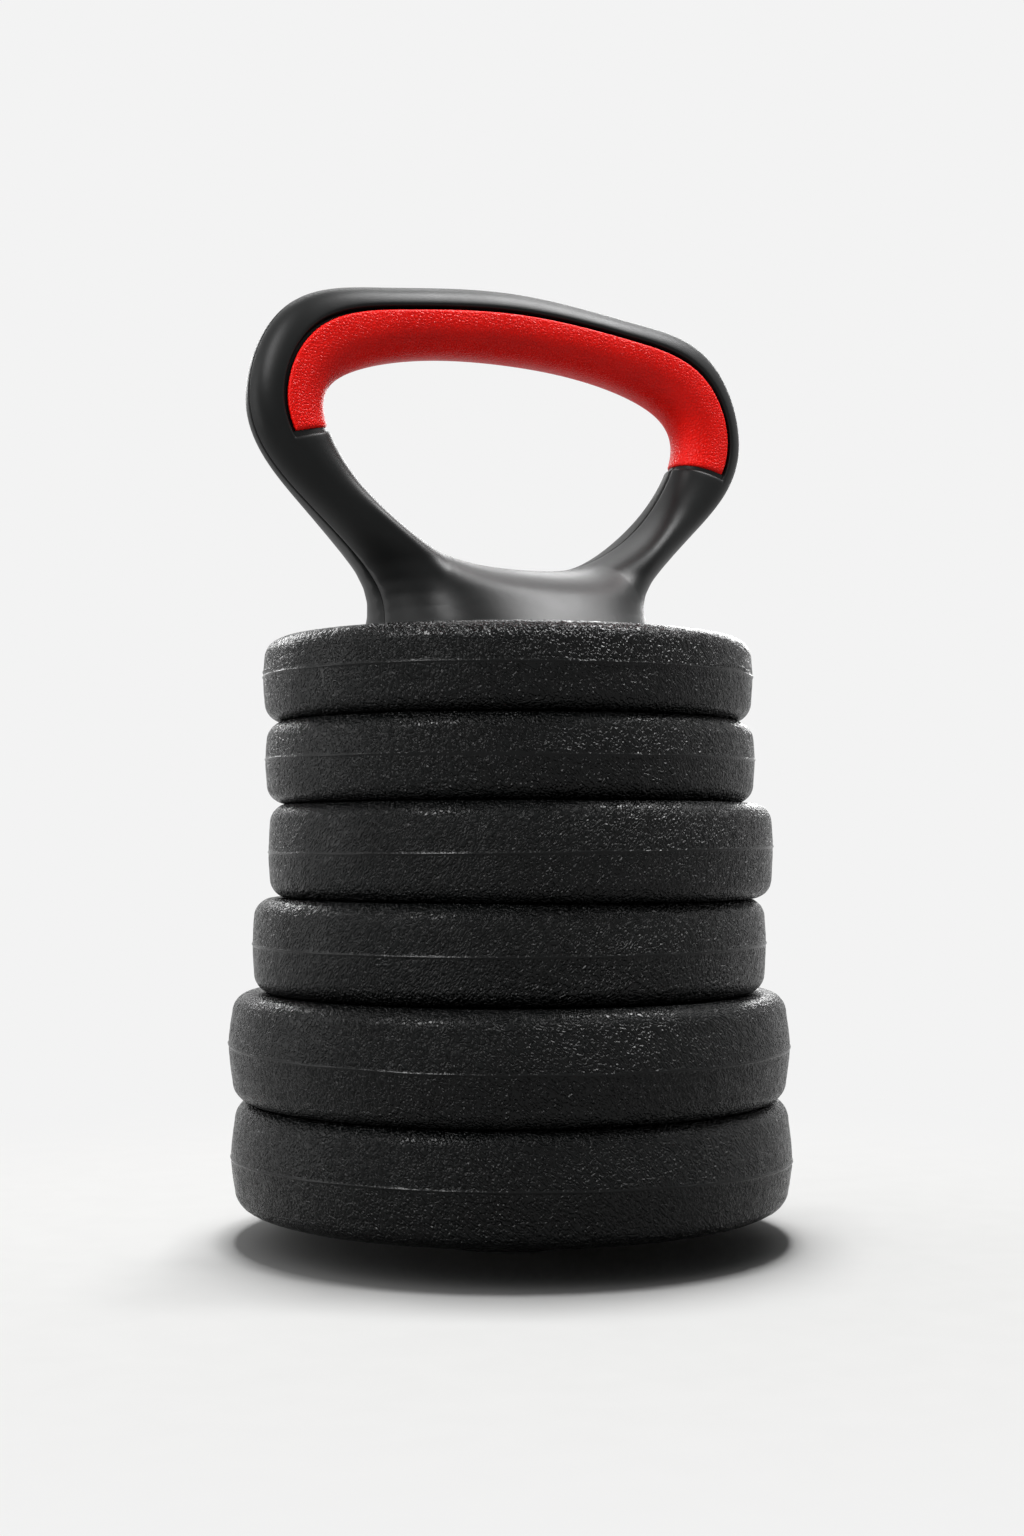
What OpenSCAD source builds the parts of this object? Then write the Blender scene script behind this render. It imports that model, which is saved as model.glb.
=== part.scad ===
// Adjustable kettlebell. A two-shell plastic handle with a soft grip is bolted to a threaded
// steel spindle. Six cement-filled plates hang on the spindle, clamped by a screw-on base nut.
// Millimetres, +Z up. The origin is the centre of the foot's bottom face, and the handle's
// loop lies in the XZ plane.

/* [Output] */
// Sub-part to build, or all of them

/* [Plates] */
// Radius of the two small plates
small_r = 83; // [76:0.5:86]
// Thickness of a small plate
small_t = 27.6; // [24:0.2:32]
// Radius of the upper medium plate
upper_medium_r = 85.5; // [82:0.5:90]
// Radius of the lower medium plate
lower_medium_r = 87; // [82:0.5:92]
// Thickness of a medium plate
medium_t = 31.8; // [27:0.2:36]
// Radius of the two large plates
large_r = 95; // [88:0.5:102]
// Thickness of a large plate
large_t = 36; // [30:0.2:40]
// Rounding of the plates' rims
rim_round = 6.5; // [5.5:0.5:9]
// Wall of the moulded skin round the cement
skin_t = 2.2; // [1.8:0.1:2.8]
// Radius of the plates' bores, loose on the spindle
bore_r = 17; // [17:0.1:17.6]
// Depth of the shallow dish in each plate's faces
dish_depth = 1.6; // [1:0.1:2.4]
// Radius of the flat hub inside the dish
hub_r = 27; // [25:0.5:30]
// Width of the flat land between the dish and the rim's rounding
land_w = 9.5; // [7:0.5:12]
// Radius of the fill hole that the plug closes
plug_r = 10; // [8:0.5:12]
// How far the mould line stands out from the rim
mould_bead = 0.45; // [0.3:0.05:0.6]

/* [Handle] */
// Greatest width of the loop
loop_w = 190; // [180:1:200]
// Height of the loop above the top plate
loop_h = 119; // [114:1:126]
// Radius of the handle's round foot
foot_r = 47; // [44:0.5:49]
// Half the handle's depth across the bar
bar_depth = 11.5; // [11:0.25:13]
// Half the legs' depth where they run into the neck
leg_depth = 28.5; // [26:0.5:31]
// Half the neck's depth under the saddle
neck_depth = 28; // [26:0.5:31]
// Height over which the neck flares out to the foot
flare_h = 24; // [22:0.5:26]
// Wall of the handle's shells
wall = 3.6; // [3:0.1:4]
// Depth of the V groove where the shells meet
seam_depth = 0.4; // [0.2:0.1:0.6]

/* [Grip] */
// Depth of the recess that the grip lies in
grip_recess = 3; // [2.6:0.1:3.2]
// How far the grip lies below the shells' surface
grip_sink = 0.3; // [0.2:0.1:0.6]
// Width of the open groove round the grip
grip_gap = 1.2; // [0.8:0.1:1.6]

/* [Spindle and nut] */
// Outer radius of the spindle's thread
spindle_r = 12; // [11.6:0.1:12]
// Depth of the spindle's thread
thread_depth = 1.6; // [1.2:0.1:2]
// Pitch of the spindle's thread
pitch = 6; // [5:0.5:7]
// Outer radius of the nut's boss, inside the bottom plate's bore
boss_r = 14.6; // [14.4:0.1:14.8]
// Height of the nut's boss above the bottom plate's face
boss_h = 14; // [8:0.5:18]
// Radius of the base nut's knob
knob_r = 34; // [31:0.5:38]
// Height of the knob
knob_h = 7.8; // [7:0.2:10]
// Thickness of the washer between the nut and the plates
washer_t = 2.4; // [1.5:0.1:3]
// How far the foot pad stands below the knob
pad_out = 1.5; // [1:0.1:2.5]

/* [Hidden] */
$fn = 96;

// Clearances
fit_gap = 0.05;        // sliding fit of round parts
free_gap = 0.3;        // parts that must not rub
fill_gap = 0.3;        // cement to skin, at the sides
past = 1;              // how far a cut runs past the face it starts from

// Plates, from the top of the stack to the bottom
plate_r = [small_r, small_r, upper_medium_r, lower_medium_r, large_r, large_r];
plate_t = [small_t, small_t, medium_t, medium_t, large_t, large_t];
plate_count = len(plate_r);
// How far each plate lies off the spindle's axis, as a share of its bore's play
play_used = [0.1, 0.25, 0.97, 0.2, 0.2, 0.36];
play_towards = -30;    // direction of that offset, degrees from +X
base_gap = pad_out + knob_h + washer_t;
plug_at = 48;          // distance of the fill hole from the plate's axis

function thickness_below(i) = i == plate_count ? 0 : plate_t[i] + thickness_below(i + 1);
function plate_z(i) = base_gap + thickness_below(i + 1);
stack_top = base_gap + thickness_below(0);

// Handle: control points of the loop's inner and outer edges for the right half, from the
// top of the bar to the middle of the saddle and to the foot, as shares of half the loop's
// width and of its height
inner_shape = [[0, 0.800], [0.395, 0.783], [0.744, 0.695], [0.744, 0.558], [0.588, 0.363],
    [0.400, 0.257], [0.230, 0.207], [0, 0.200]];
outer_shape = [[0, 1.016], [0.529, 0.957], [0.902, 0.936], [1.079, 0.558], [0.749, 0.327],
    [0.478, 0.135]];
inner_edge = [for (p = inner_shape) [p[0] * loop_w / 2, p[1] * loop_h]];
outer_edge = concat([for (p = outer_shape) [p[0] * loop_w / 2, p[1] * loop_h]], [[foot_r, 0]]);
// Half depths from the bar to the end of a leg in the neck
depths = [bar_depth, bar_depth, bar_depth - 1, bar_depth - 0.5, leg_depth - 7, leg_depth, leg_depth];
// Heights between which the neck's form turns into the legs'
merge_low = 14;
merge_high = 46;
flare_power = 1.25;    // how fast the flare opens towards the foot
neck_power = 2.5;      // power of the super-ellipse that is the neck's plan
foot_at = 0.78;        // station where the outer edge reaches the foot
squareness = 2.3;      // power of the section's super-ellipse
seam_w = 0.8;          // half width of the groove where the shells meet
grip_end = 0.43;       // station where the grip ends
grip_side = 0.624;     // share of the section that the grip wraps, from the inside
grip_wall = 2.6;       // shell's wall below the grip
glue_gap = 0.3;        // grip to the recess's floor
step_gap = 0.0008;     // stations this close make a sharp step

// Spindle, anchor and nut
floor_t = 6;           // the handle's floor round the spindle
floor_r = 33;
anchor_t = 4;
anchor_size = [44, 34];
shank_r = 8;           // the spindle's upper end, in the anchor
anchor_nut_t = 7;
anchor_nut_r = 15;
pad_seat = 1;          // depth of the foot pad's seat in the knob
knob_floor = 1.6;
nut_floor = pad_out + pad_seat + knob_floor;    // underside of the steel nut
nut_top = base_gap - washer_t;
nut_hex = 18;          // half the steel nut's width across flats
nut_lead = 0.6;        // chamfer at the top of the nut's boss
pad_margin = 3;        // knob's rim outside the foot pad
washer_margin = 4;     // knob's rim outside the washer
scallops = 12;         // finger scallops round the knob
scallop_r = 5.5;
scallop_bite = 2.5;    // depth of a scallop
corner_cut = 1;        // anchor nut's top face, outside its width across flats
spindle_end = nut_floor + 1;

// Screws through the back shell into the front shell's bosses
screw_r = 2;
screw_head_r = 3.6;
screw_head_h = 2.4;
screw_seat = 4.5;      // height of the head's seat behind the mid plane
screw_tip = 6.4;       // depth of the tip in front of it
tip_gap = 0.4;         // room past the tip
// Where the screws lie: their stations and their shares of the section
screw_at = [[0.14, 0.5], [0.5, 0.5], [0.82, 0.47]];
boss_wall = 1.8;
boss_bite = 6;         // how far a boss runs past the cavity, before the wall stops it
boss_cover = 1.5;      // shell left over a boss's end
boss_draft = 0.3;      // how much wider a boss is at its root
boss_end = 1;          // straight length at a boss's ends
cross_l = 3.6;         // cross recess in the screws' heads
cross_w = 0.9;
cross_depth = 1.2;

// ---- Curves of the handle ----

function mix(a, b, t) = a + (b - a) * t;
function flip(p) = [-p[0], p[1]];
function ease(t) = let (c = min(1, max(0, t))) c * c * (3 - 2 * c);

// A point on a uniform cubic B-spline. before and after stand past its two ends.
function spline_at(points, share, before, after) =
    let (all = concat([before], points, [after]),
        x = min(share, 0.999999) * (len(points) - 1), i = floor(x), f = x - i)
    (pow(1 - f, 3) * all[i] + (3 * pow(f, 3) - 6 * f * f + 4) * all[i + 1]
        + (1 + 3 * f + 3 * f * f - 3 * pow(f, 3)) * all[i + 2] + pow(f, 3) * all[i + 3]) / 6;

function inner_at(u) = spline_at(inner_edge, u, flip(inner_edge[1]),
    flip(inner_edge[len(inner_edge) - 2]));
function outer_at(u) = u > foot_at
    ? [foot_r * (1 - u) / (1 - foot_at), 0]
    : spline_at(outer_edge, u / foot_at, flip(outer_edge[1]),
        2 * outer_edge[len(outer_edge) - 1] - outer_edge[len(outer_edge) - 2]);
function depth_at(u) = spline_at(depths, u, depths[1], depths[len(depths) - 2]);

// Half the neck's width and depth at a height above the top plate
neck_sides = [for (i = [0:12]) let (p = outer_at(foot_at * (1 - i / 24))) [p[1], p[0]]];
function neck_width(z) = lookup(z, neck_sides);
function neck_reach(z) = mix(neck_depth, foot_r,
    pow(max(0, 1 - max(0, z) / flare_h), flare_power));

function arch(share, power) = pow(max(0, 1 - pow(min(1, abs(share)), power)), 1 / power);

// A point of the handle's section at station u, a share s of the way from the loop's inner
// edge to its outer edge, inset below the surface
function skin_point(u, s, inset) =
    let (a = inner_at(u), b = outer_at(u), along = (b - a) / norm(b - a),
        q = -cos(180 * s), at = mix(a + along * inset, b - along * inset, (1 + q) / 2),
        leg = (depth_at(u) - inset) * arch(q, squareness),
        neck = (neck_reach(at[1]) - inset) * arch(at[0] / (neck_width(at[1]) - inset), neck_power)
            * arch(min(0, q), squareness),
        y = mix(neck, leg, ease((at[1] - merge_low) / (merge_high - merge_low))))
    [at[0], max(y, seam_w), at[1]];

function edge_point(u, outer, inset) =
    let (a = inner_at(u), b = outer_at(u), along = (b - a) / norm(b - a),
        at = outer ? b - along * inset : a + along * inset)
    [at[0], 0, at[1]];

function in_grip(u, s) = u < grip_end && s < grip_side;
function shell_inset(u, s) = in_grip(u, s) ? grip_recess : 0;
function cavity_inset(u) = mix(grip_recess + grip_wall, wall, ease((u - grip_end) / 0.08));

// Stations of the right half, with a sharp step at the grip's end
half_stations = concat([for (i = [0:13]) grip_end * i / 14],
    [grip_end - step_gap, grip_end + step_gap],
    [for (i = [1:26]) mix(grip_end, 1, i / 26)]);
outer_shares = [0, 0.1, 0.22, 0.35, 0.48, grip_side - step_gap, grip_side + step_gap,
    0.74, 0.85, 0.94, 1];
cavity_shares = [1, 0.84, 0.66, 0.5, 0.34, 0.17];

// Every station of the loop as [station, side], closed
function loop_stations(us) = concat([for (u = us) [u, 1]],
    [for (i = [len(us) - 2:-1:1]) [us[i], -1]]);

// A shell's outer surface at one station, from edge to edge, some depth below the true one
function outer_arc(u, below) = concat(
    [edge_point(u, false, seam_depth + shell_inset(u, 0) + below)],
    [for (s = outer_shares) skin_point(u, s, shell_inset(u, s) + below)],
    [edge_point(u, true, (u > foot_at ? 0 : seam_depth) + below)]);

// One shell's section as a closed ring: the outer surface, then the cavity
function shell_ring(u) = concat(
    outer_arc(u, 0),
    [edge_point(u, true, cavity_inset(u))],
    [for (s = cavity_shares) skin_point(u, s, cavity_inset(u))],
    [edge_point(u, false, cavity_inset(u))]);

// A ring of the right half set in place on its side of the loop, front or back
function placed(ring, side, depth_sign) = [for (p = ring)
    [side * p[0], depth_sign * p[1], stack_top + p[2]]];

function reversed(list) = [for (i = [len(list) - 1:-1:0]) list[i]];

// Triangles between two neighbouring rings of a tube
function band(first, second, count, turned) = [for (k = [0:count - 1])
    let (a = first + k, b = second + k,
        c = second + (k + 1) % count, d = first + (k + 1) % count)
    each (turned ? [[a, b, c], [a, c, d]] : [[a, c, b], [a, d, c]])];

// A closed loop through rings that all have the same number of points
module looped(rings, turned) {
    count = len(rings[0]);
    total = len(rings);
    polyhedron(points = [for (r = rings) each r],
        faces = [for (i = [0:total - 1])
            each band(i * count, ((i + 1) % total) * count, count, turned)]);
}

module half_shell_skin(depth_sign) {
    looped([for (v = loop_stations(half_stations)) placed(shell_ring(v[0]), v[1], depth_sign)],
        depth_sign > 0);
}

// The room in which a shell's screw bosses stay: all of its inside and part of its wall
module boss_room(depth_sign) {
    looped([for (v = loop_stations(half_stations)) placed(outer_arc(v[0], boss_cover), v[1],
        depth_sign)], depth_sign > 0);
}

// ---- Handle ----

// Every screw's axis: its x and z, and the depth of the cavity there
screw_axes = [for (at = screw_at, side = [-1, 1])
    let (c = skin_point(at[0], at[1], 0), in = skin_point(at[0], at[1], cavity_inset(at[0])))
    [side * c[0], stack_top + c[2], in[1]]];

// Along the screw's axis from y0 to y1
module screw_bar(axis, y0, y1, r0, r1) {
    translate([axis[0], y0, axis[1]]) rotate([-90, 0, 0])
        cylinder(h = y1 - y0, r1 = r0, r2 = r1, $fn = 16);
}

// A tapered boss from the mid plane into the shell's wall, wider in the back shell, where it
// holds the screw's head
module screw_boss(axis, depth_sign) {
    reach = axis[2] + boss_bite;
    r = boss_wall + (depth_sign > 0 ? screw_head_r : screw_r);
    ends = depth_sign > 0 ? [0, boss_end, reach - boss_end, reach]
        : [-boss_end, 0, -reach, boss_end - reach];
    hull() {
        screw_bar(axis, ends[0], ends[1], r, r);
        screw_bar(axis, ends[2], ends[3], r + boss_draft, r + boss_draft);
    }
}

// Walls that box in the anchor plate on the handle's floor
module anchor_walls() {
    half = anchor_size / 2;
    for (side = [-1, 1]) hull() {
        translate([side * (half[0] + free_gap + 1.5), 0, stack_top + floor_t])
            cube([3, anchor_size[1] - 4, 1], center = true);
        translate([side * (half[0] + free_gap + 1.5), 0, stack_top + floor_t + anchor_t + 2])
            cube([2.4, anchor_size[1] - 8, 1], center = true);
    }
}

module half_shell(depth_sign) {
    render() difference() {
        union() {
            half_shell_skin(depth_sign);
            intersection() {
                boss_room(depth_sign);
                for (axis = screw_axes) screw_boss(axis, depth_sign);
            }
            intersection() {
                union() {
                    translate([0, 0, stack_top + wall / 2])
                        cylinder(h = floor_t - wall / 2, r = floor_r, $fn = 40);
                    anchor_walls();
                }
                translate([-foot_r, depth_sign > 0 ? 0 : -foot_r, stack_top])
                    cube([2 * foot_r, foot_r, loop_h]);
            }
        }
        translate([0, 0, stack_top - past])
            cylinder(h = floor_t + 2 * past, r = spindle_r + free_gap, $fn = 32);
        for (axis = screw_axes) {
            screw_bar(axis, -screw_tip - tip_gap, screw_seat, screw_r + fit_gap, screw_r + fit_gap);
            screw_bar(axis, screw_seat, foot_r + past, screw_head_r + free_gap,
                screw_head_r + free_gap);
        }
    }
}

module handle_front_shell() {
    color("#2b2c2e") half_shell(-1);
}

module handle_back_shell() {
    color("#2b2c2e") half_shell(1);
}

// Width of the open groove round the grip, as shares of the loop and of the section
grip_trim_u = grip_gap * 0.01 / norm(inner_at(grip_end) - inner_at(grip_end - 0.01));
grip_trim_s = grip_gap / (3 * bar_depth);
grip_shares = [grip_side - grip_trim_s, 0.48, 0.35, 0.22, 0.1, 0.03];
grip_stations = [for (i = [0:14]) (grip_end - grip_trim_u) * i / 14];

function grip_arc(u, inset, depth_sign) = [for (s = grip_shares)
    let (p = skin_point(u, s, inset)) [p[0], depth_sign * p[1], p[2]]];
function grip_ring(u) = let (under = grip_recess - glue_gap) concat(
    grip_arc(u, grip_sink, -1), reversed(grip_arc(u, grip_sink, 1)),
    grip_arc(u, under, 1), reversed(grip_arc(u, under, -1)));

module grip_insert() {
    stations = concat([for (i = [len(grip_stations) - 1:-1:1]) [grip_stations[i], -1]],
        [for (u = grip_stations) [u, 1]]);
    rings = [for (v = stations) placed(grip_ring(v[0]), v[1], 1)];
    count = len(rings[0]);
    total = len(rings);
    color("#d41f12") polyhedron(points = [for (r = rings) each r],
        faces = concat(
            [for (i = [0:total - 2]) each band(i * count, (i + 1) * count, count, true)],
            grip_cap(0, count / 2, true), grip_cap((total - 1) * count, count / 2, false)));
}

// End face of the grip: quads between its outer and inner arcs, as triangles
function grip_cap(first, half, turned) = [for (k = [0:half - 2])
    let (a = first + k, b = first + k + 1,
        c = first + 2 * half - 2 - k, d = first + 2 * half - 1 - k)
    each (turned ? [[a, b, c], [a, c, d]] : [[a, c, b], [a, d, c]])];

module handle_screws() {
    color("#8f9297") for (axis = screw_axes) {
        screw_bar(axis, -screw_tip, screw_seat, screw_r, screw_r);
        difference() {
            screw_bar(axis, screw_seat, screw_seat + screw_head_h, screw_head_r, screw_head_r);
            translate([axis[0], screw_seat + screw_head_h, axis[1]])
                for (turn = [0, 90]) rotate([0, turn, 0])
                    cube([cross_l, 2 * cross_depth, cross_w], center = true);
        }
    }
}

module anchor_plate() {
    color("#a4a6a8") translate([0, 0, stack_top + floor_t]) difference() {
        linear_extrude(anchor_t) square(anchor_size, center = true);
        translate([0, 0, -past]) cylinder(h = anchor_t + 2 * past, r = shank_r + fit_gap);
    }
}

module anchor_nut() {
    color("#a4a6a8") translate([0, 0, stack_top + floor_t + anchor_t]) difference() {
        intersection() {
            cylinder(h = anchor_nut_t, r = anchor_nut_r / cos(30), $fn = 6);
            cylinder(h = anchor_nut_t, r1 = anchor_nut_r + corner_cut + anchor_nut_t,
                r2 = anchor_nut_r + corner_cut);
        }
        translate([0, 0, -past]) cylinder(h = anchor_nut_t + 2 * past, r = shank_r + fit_gap);
    }
}

// ---- Spindle ----

// Turned from bar: a lead-in, the threaded length, a run-out groove, a plain neck through the
// handle's floor and a shank that the anchor plate and nut grip
module spindle() {
    groove_top = stack_top - 4;
    root = spindle_r - thread_depth;
    floor_top = stack_top + floor_t;
    shank_top = floor_top + anchor_t + anchor_nut_t + 1.6;
    color("#b9bbbd") rotate_extrude() polygon([
        [0, spindle_end], [root, spindle_end], [spindle_r, spindle_end + thread_depth],
        [spindle_r, groove_top - pitch], [root, groove_top - pitch + thread_depth],
        [root, groove_top - thread_depth], [spindle_r, groove_top], [spindle_r, floor_top],
        [shank_r, floor_top], [shank_r, shank_top - 0.8], [shank_r - 0.8, shank_top],
        [0, shank_top]]);
}

// ---- Plates ----

// Half of a plate's section, inset by the same amount all round
module plate_half(r, t, inset) {
    ring_r = r - rim_round - land_w;
    corner = rim_round - inset;
    difference() {
        union() {
            translate([bore_r + inset, inset]) square([r - rim_round - bore_r - inset, t - 2 * inset]);
            translate([bore_r + inset, rim_round]) square([r - bore_r - 2 * inset, t - 2 * rim_round]);
            for (z = [rim_round, t - rim_round]) translate([r - rim_round, z]) circle(corner);
        }
        for (z = [inset - 1, t - inset - dish_depth])
            translate([hub_r - inset, z]) square([ring_r - hub_r + 2 * inset, dish_depth + 1]);
    }
}

// Each plate hangs a little off the spindle's axis, within the play of its bore
module hung(i) {
    play = play_used[i] * (bore_r - spindle_r);
    translate([play * cos(play_towards), play * sin(play_towards), plate_z(i)]) children();
}

module plate_shell(i) {
    r = plate_r[i];
    t = plate_t[i];
    color("#1d1e1f") hung(i) difference() {
        union() {
            rotate_extrude() plate_half(r, t, 0);
            rotate_extrude() translate([r, t / 2]) circle(mould_bead, $fn = 32);
        }
        rotate_extrude() plate_half(r, t, skin_t);
        translate([plug_at, 0, t - dish_depth - skin_t - 1]) cylinder(h = skin_t + 2, r = plug_r);
    }
}

module plate_core(i) {
    color("#8c8a85") hung(i) translate([0, 0, -fill_gap])
        rotate_extrude() plate_half(plate_r[i], plate_t[i], skin_t + fill_gap);
}

// The plug rests on the cement
module plate_plug(i) {
    depth = skin_t + 2 * fill_gap;
    color("#1d1e1f") hung(i) translate([plug_at, 0, plate_t[i] - dish_depth - depth]) {
        cylinder(h = depth, r = plug_r - fit_gap);
    }
}

module plate_1_shell() {
    plate_shell(0);
}

module plate_1_core() {
    plate_core(0);
}

module plate_1_plug() {
    plate_plug(0);
}

module plate_2_shell() {
    plate_shell(1);
}

module plate_2_core() {
    plate_core(1);
}

module plate_2_plug() {
    plate_plug(1);
}

module plate_3_shell() {
    plate_shell(2);
}

module plate_3_core() {
    plate_core(2);
}

module plate_3_plug() {
    plate_plug(2);
}

module plate_4_shell() {
    plate_shell(3);
}

module plate_4_core() {
    plate_core(3);
}

module plate_4_plug() {
    plate_plug(3);
}

module plate_5_shell() {
    plate_shell(4);
}

module plate_5_core() {
    plate_core(4);
}

module plate_5_plug() {
    plate_plug(4);
}

module plate_6_shell() {
    plate_shell(5);
}

module plate_6_core() {
    plate_core(5);
}

module plate_6_plug() {
    plate_plug(5);
}

// ---- Base ----

module base_washer() {
    color("#26272a") translate([0, 0, nut_top]) difference() {
        cylinder(h = washer_t, r = knob_r - washer_margin);
        translate([0, 0, -past]) cylinder(h = washer_t + 2 * past, r = boss_r + 2 * free_gap);
    }
}

// A hexagon held in the knob, and a boss that reaches up into the bottom plate's bore
module steel_nut() {
    boss_top = base_gap + boss_h;
    bore = spindle_r + fit_gap;
    color("#a9abad") difference() {
        union() {
            translate([0, 0, nut_floor]) cylinder(h = nut_top - nut_floor, r = nut_hex / cos(30), $fn = 6);
            translate([0, 0, nut_floor]) cylinder(h = boss_top - nut_floor - nut_lead, r = boss_r);
            translate([0, 0, boss_top - nut_lead])
                cylinder(h = nut_lead, r1 = boss_r, r2 = boss_r - nut_lead);
        }
        translate([0, 0, nut_floor - past])
            cylinder(h = boss_top - nut_floor + 2 * past, r = bore);
        translate([0, 0, boss_top - nut_lead])
            cylinder(h = 2 * nut_lead, r1 = bore, r2 = bore + 2 * nut_lead);
    }
}

module nut_knob() {
    color("#202123") difference() {
        translate([0, 0, pad_out]) cylinder(h = knob_h, r = knob_r);
        for (k = [0:scallops - 1]) rotate(k * 360 / scallops)
            translate([knob_r + scallop_r - scallop_bite, 0, pad_out - past])
                cylinder(h = knob_h + 2 * past, r = scallop_r);
        translate([0, 0, nut_floor]) cylinder(h = knob_h, r = (nut_hex + fit_gap) / cos(30), $fn = 6);
        translate([0, 0, -past]) cylinder(h = pad_out + pad_seat + past, r = knob_r - pad_margin);
    }
}

module foot_pad() {
    color("#161617") cylinder(h = pad_out + pad_seat, r = knob_r - pad_margin - fit_gap);
}

handle_front_shell();
handle_back_shell();
grip_insert();
handle_screws();
anchor_plate();
anchor_nut();
spindle();
plate_1_shell();
plate_1_core();
plate_1_plug();
plate_2_shell();
plate_2_core();
plate_2_plug();
plate_3_shell();
plate_3_core();
plate_3_plug();
plate_4_shell();
plate_4_core();
plate_4_plug();
plate_5_shell();
plate_5_core();
plate_5_plug();
plate_6_shell();
plate_6_core();
plate_6_plug();
base_washer();
steel_nut();
nut_knob();
foot_pad();
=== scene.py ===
"""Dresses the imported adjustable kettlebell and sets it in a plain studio.

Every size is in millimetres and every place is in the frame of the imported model, with +Z up
along the spindle and the handle's loop in the XZ plane.
"""

import sys

import logging
import math
from dataclasses import dataclass, field
from enum import Enum
from typing import Any, Callable, Iterable

import bmesh
import bpy
from mathutils import Matrix, Vector, noise


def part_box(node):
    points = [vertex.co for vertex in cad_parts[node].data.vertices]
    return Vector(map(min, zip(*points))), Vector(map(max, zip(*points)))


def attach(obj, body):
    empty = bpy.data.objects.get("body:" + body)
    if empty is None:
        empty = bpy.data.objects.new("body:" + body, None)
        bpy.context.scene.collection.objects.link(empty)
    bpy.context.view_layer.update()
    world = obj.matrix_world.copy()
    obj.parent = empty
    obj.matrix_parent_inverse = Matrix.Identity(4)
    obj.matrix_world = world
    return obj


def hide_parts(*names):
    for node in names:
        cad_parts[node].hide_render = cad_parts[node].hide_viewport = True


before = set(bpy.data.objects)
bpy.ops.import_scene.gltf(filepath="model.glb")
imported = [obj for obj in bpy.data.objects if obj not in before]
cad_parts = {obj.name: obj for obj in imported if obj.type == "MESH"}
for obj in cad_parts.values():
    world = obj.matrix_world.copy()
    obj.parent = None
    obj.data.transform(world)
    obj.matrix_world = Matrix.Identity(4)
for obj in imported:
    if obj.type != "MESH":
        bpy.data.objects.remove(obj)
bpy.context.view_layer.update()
LOG = logging.getLogger("kettlebell")
MM = 0.001
WELD = 0.004
MOULD_LINE = "mould_line"
QUARTER_TURN = (0, math.pi / 8, math.pi / 4, math.pi * 3 / 8, math.pi / 2)
Point = tuple[float, float]


# ---- Small helpers ----


def mix(a: Any, b: Any, share: float) -> Any:
    """Blends two numbers or vectors."""
    return a + (b - a) * share


def ease(share: float) -> float:
    """A smooth step from 0 to 1."""
    held = min(1.0, max(0.0, share))
    return held * held * (3 - 2 * held)


def linear(code: str) -> tuple[float, float, float, float]:
    """Turns an sRGB hex code into a linear colour.

    Args:
        code: Six hex digits after a hash sign.

    Returns:
        Red, green, blue and an alpha of one.
    """
    parts = [int(code[i:i + 2], 16) / 255 for i in (1, 3, 5)]
    red, green, blue = [p / 12.92 if p <= 0.04045 else ((p + 0.055) / 1.055) ** 2.4 for p in parts]
    return red, green, blue, 1.0


def cad_box(node: str) -> tuple[Vector, Vector]:
    """Lowest and highest corner of a CAD node at rest, in millimetres."""
    low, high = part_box(node)
    return low / MM, high / MM


def add(tree: bpy.types.NodeTree, kind: str, values: dict | None = None,
        links: dict | None = None, **settings: Any) -> bpy.types.Node:
    """Adds a shader node.

    Args:
        tree: The material's or world's node tree.
        kind: Blender's name of the node type.
        values: Constant values by input name or number.
        links: Output sockets by input name or number.
        settings: The node's own properties.

    Returns:
        The new node.
    """
    node = tree.nodes.new(kind)
    for name, value in settings.items():
        setattr(node, name, value)
    for key, value in (values or {}).items():
        node.inputs[key].default_value = value
    for key, socket in (links or {}).items():
        tree.links.new(socket, node.inputs[key])
    return node


# ---- Finishes ----


class Grain(Enum):
    """What the relief of a surface looks like close up."""

    ORANGE_PEEL = "soft shallow waves"
    WORMS = "short wavy ridges"
    LEATHER = "small cushions between creases"
    GRIT = "sharp-edged specks"


@dataclass(frozen=True)
class Relief:
    """One layer of a surface's relief.

    Attributes:
        grain: Its kind.
        size: Width of one grain in millimetres.
        depth: Height of the relief in millimetres.
    """

    grain: Grain
    size: float
    depth: float

    def height(self, tree: bpy.types.NodeTree, place: bpy.types.NodeSocket) -> bpy.types.NodeSocket:
        """Adds the nodes of this layer.

        Args:
            tree: The material's node tree.
            place: Position on the piece, in metres.

        Returns:
            A height from about 0 to 1.
        """
        scale = 1 / (self.size * MM)
        crease, ridge_width = 0.28, 0.16
        if self.grain is Grain.LEATHER:
            cells = add(tree, "ShaderNodeTexVoronoi", {"Scale": scale, "Randomness": 0.9},
                        {"Vector": place}, feature="DISTANCE_TO_EDGE")
            return add(tree, "ShaderNodeMapRange", {"From Max": crease},
                       {"Value": cells.outputs[0]}, interpolation_type="SMOOTHSTEP").outputs[0]
        if self.grain is Grain.GRIT:
            return add(tree, "ShaderNodeTexNoise", {
                "Scale": scale, "Detail": 2.0, "Roughness": 0.7}, {"Vector": place}).outputs[0]
        soft = add(tree, "ShaderNodeTexNoise", {"Scale": scale, "Detail": 1.0},
                   {"Vector": place}).outputs[0]
        if self.grain is Grain.ORANGE_PEEL:
            return soft
        middle = add(tree, "ShaderNodeMath", {1: 0.5}, {0: soft}, operation="SUBTRACT")
        ridge = add(tree, "ShaderNodeMath", links={0: middle.outputs[0]}, operation="ABSOLUTE")
        return add(tree, "ShaderNodeMapRange", {"From Max": ridge_width},
                   {"Value": ridge.outputs[0]}, interpolation_type="SMOOTHSTEP").outputs[0]


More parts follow.
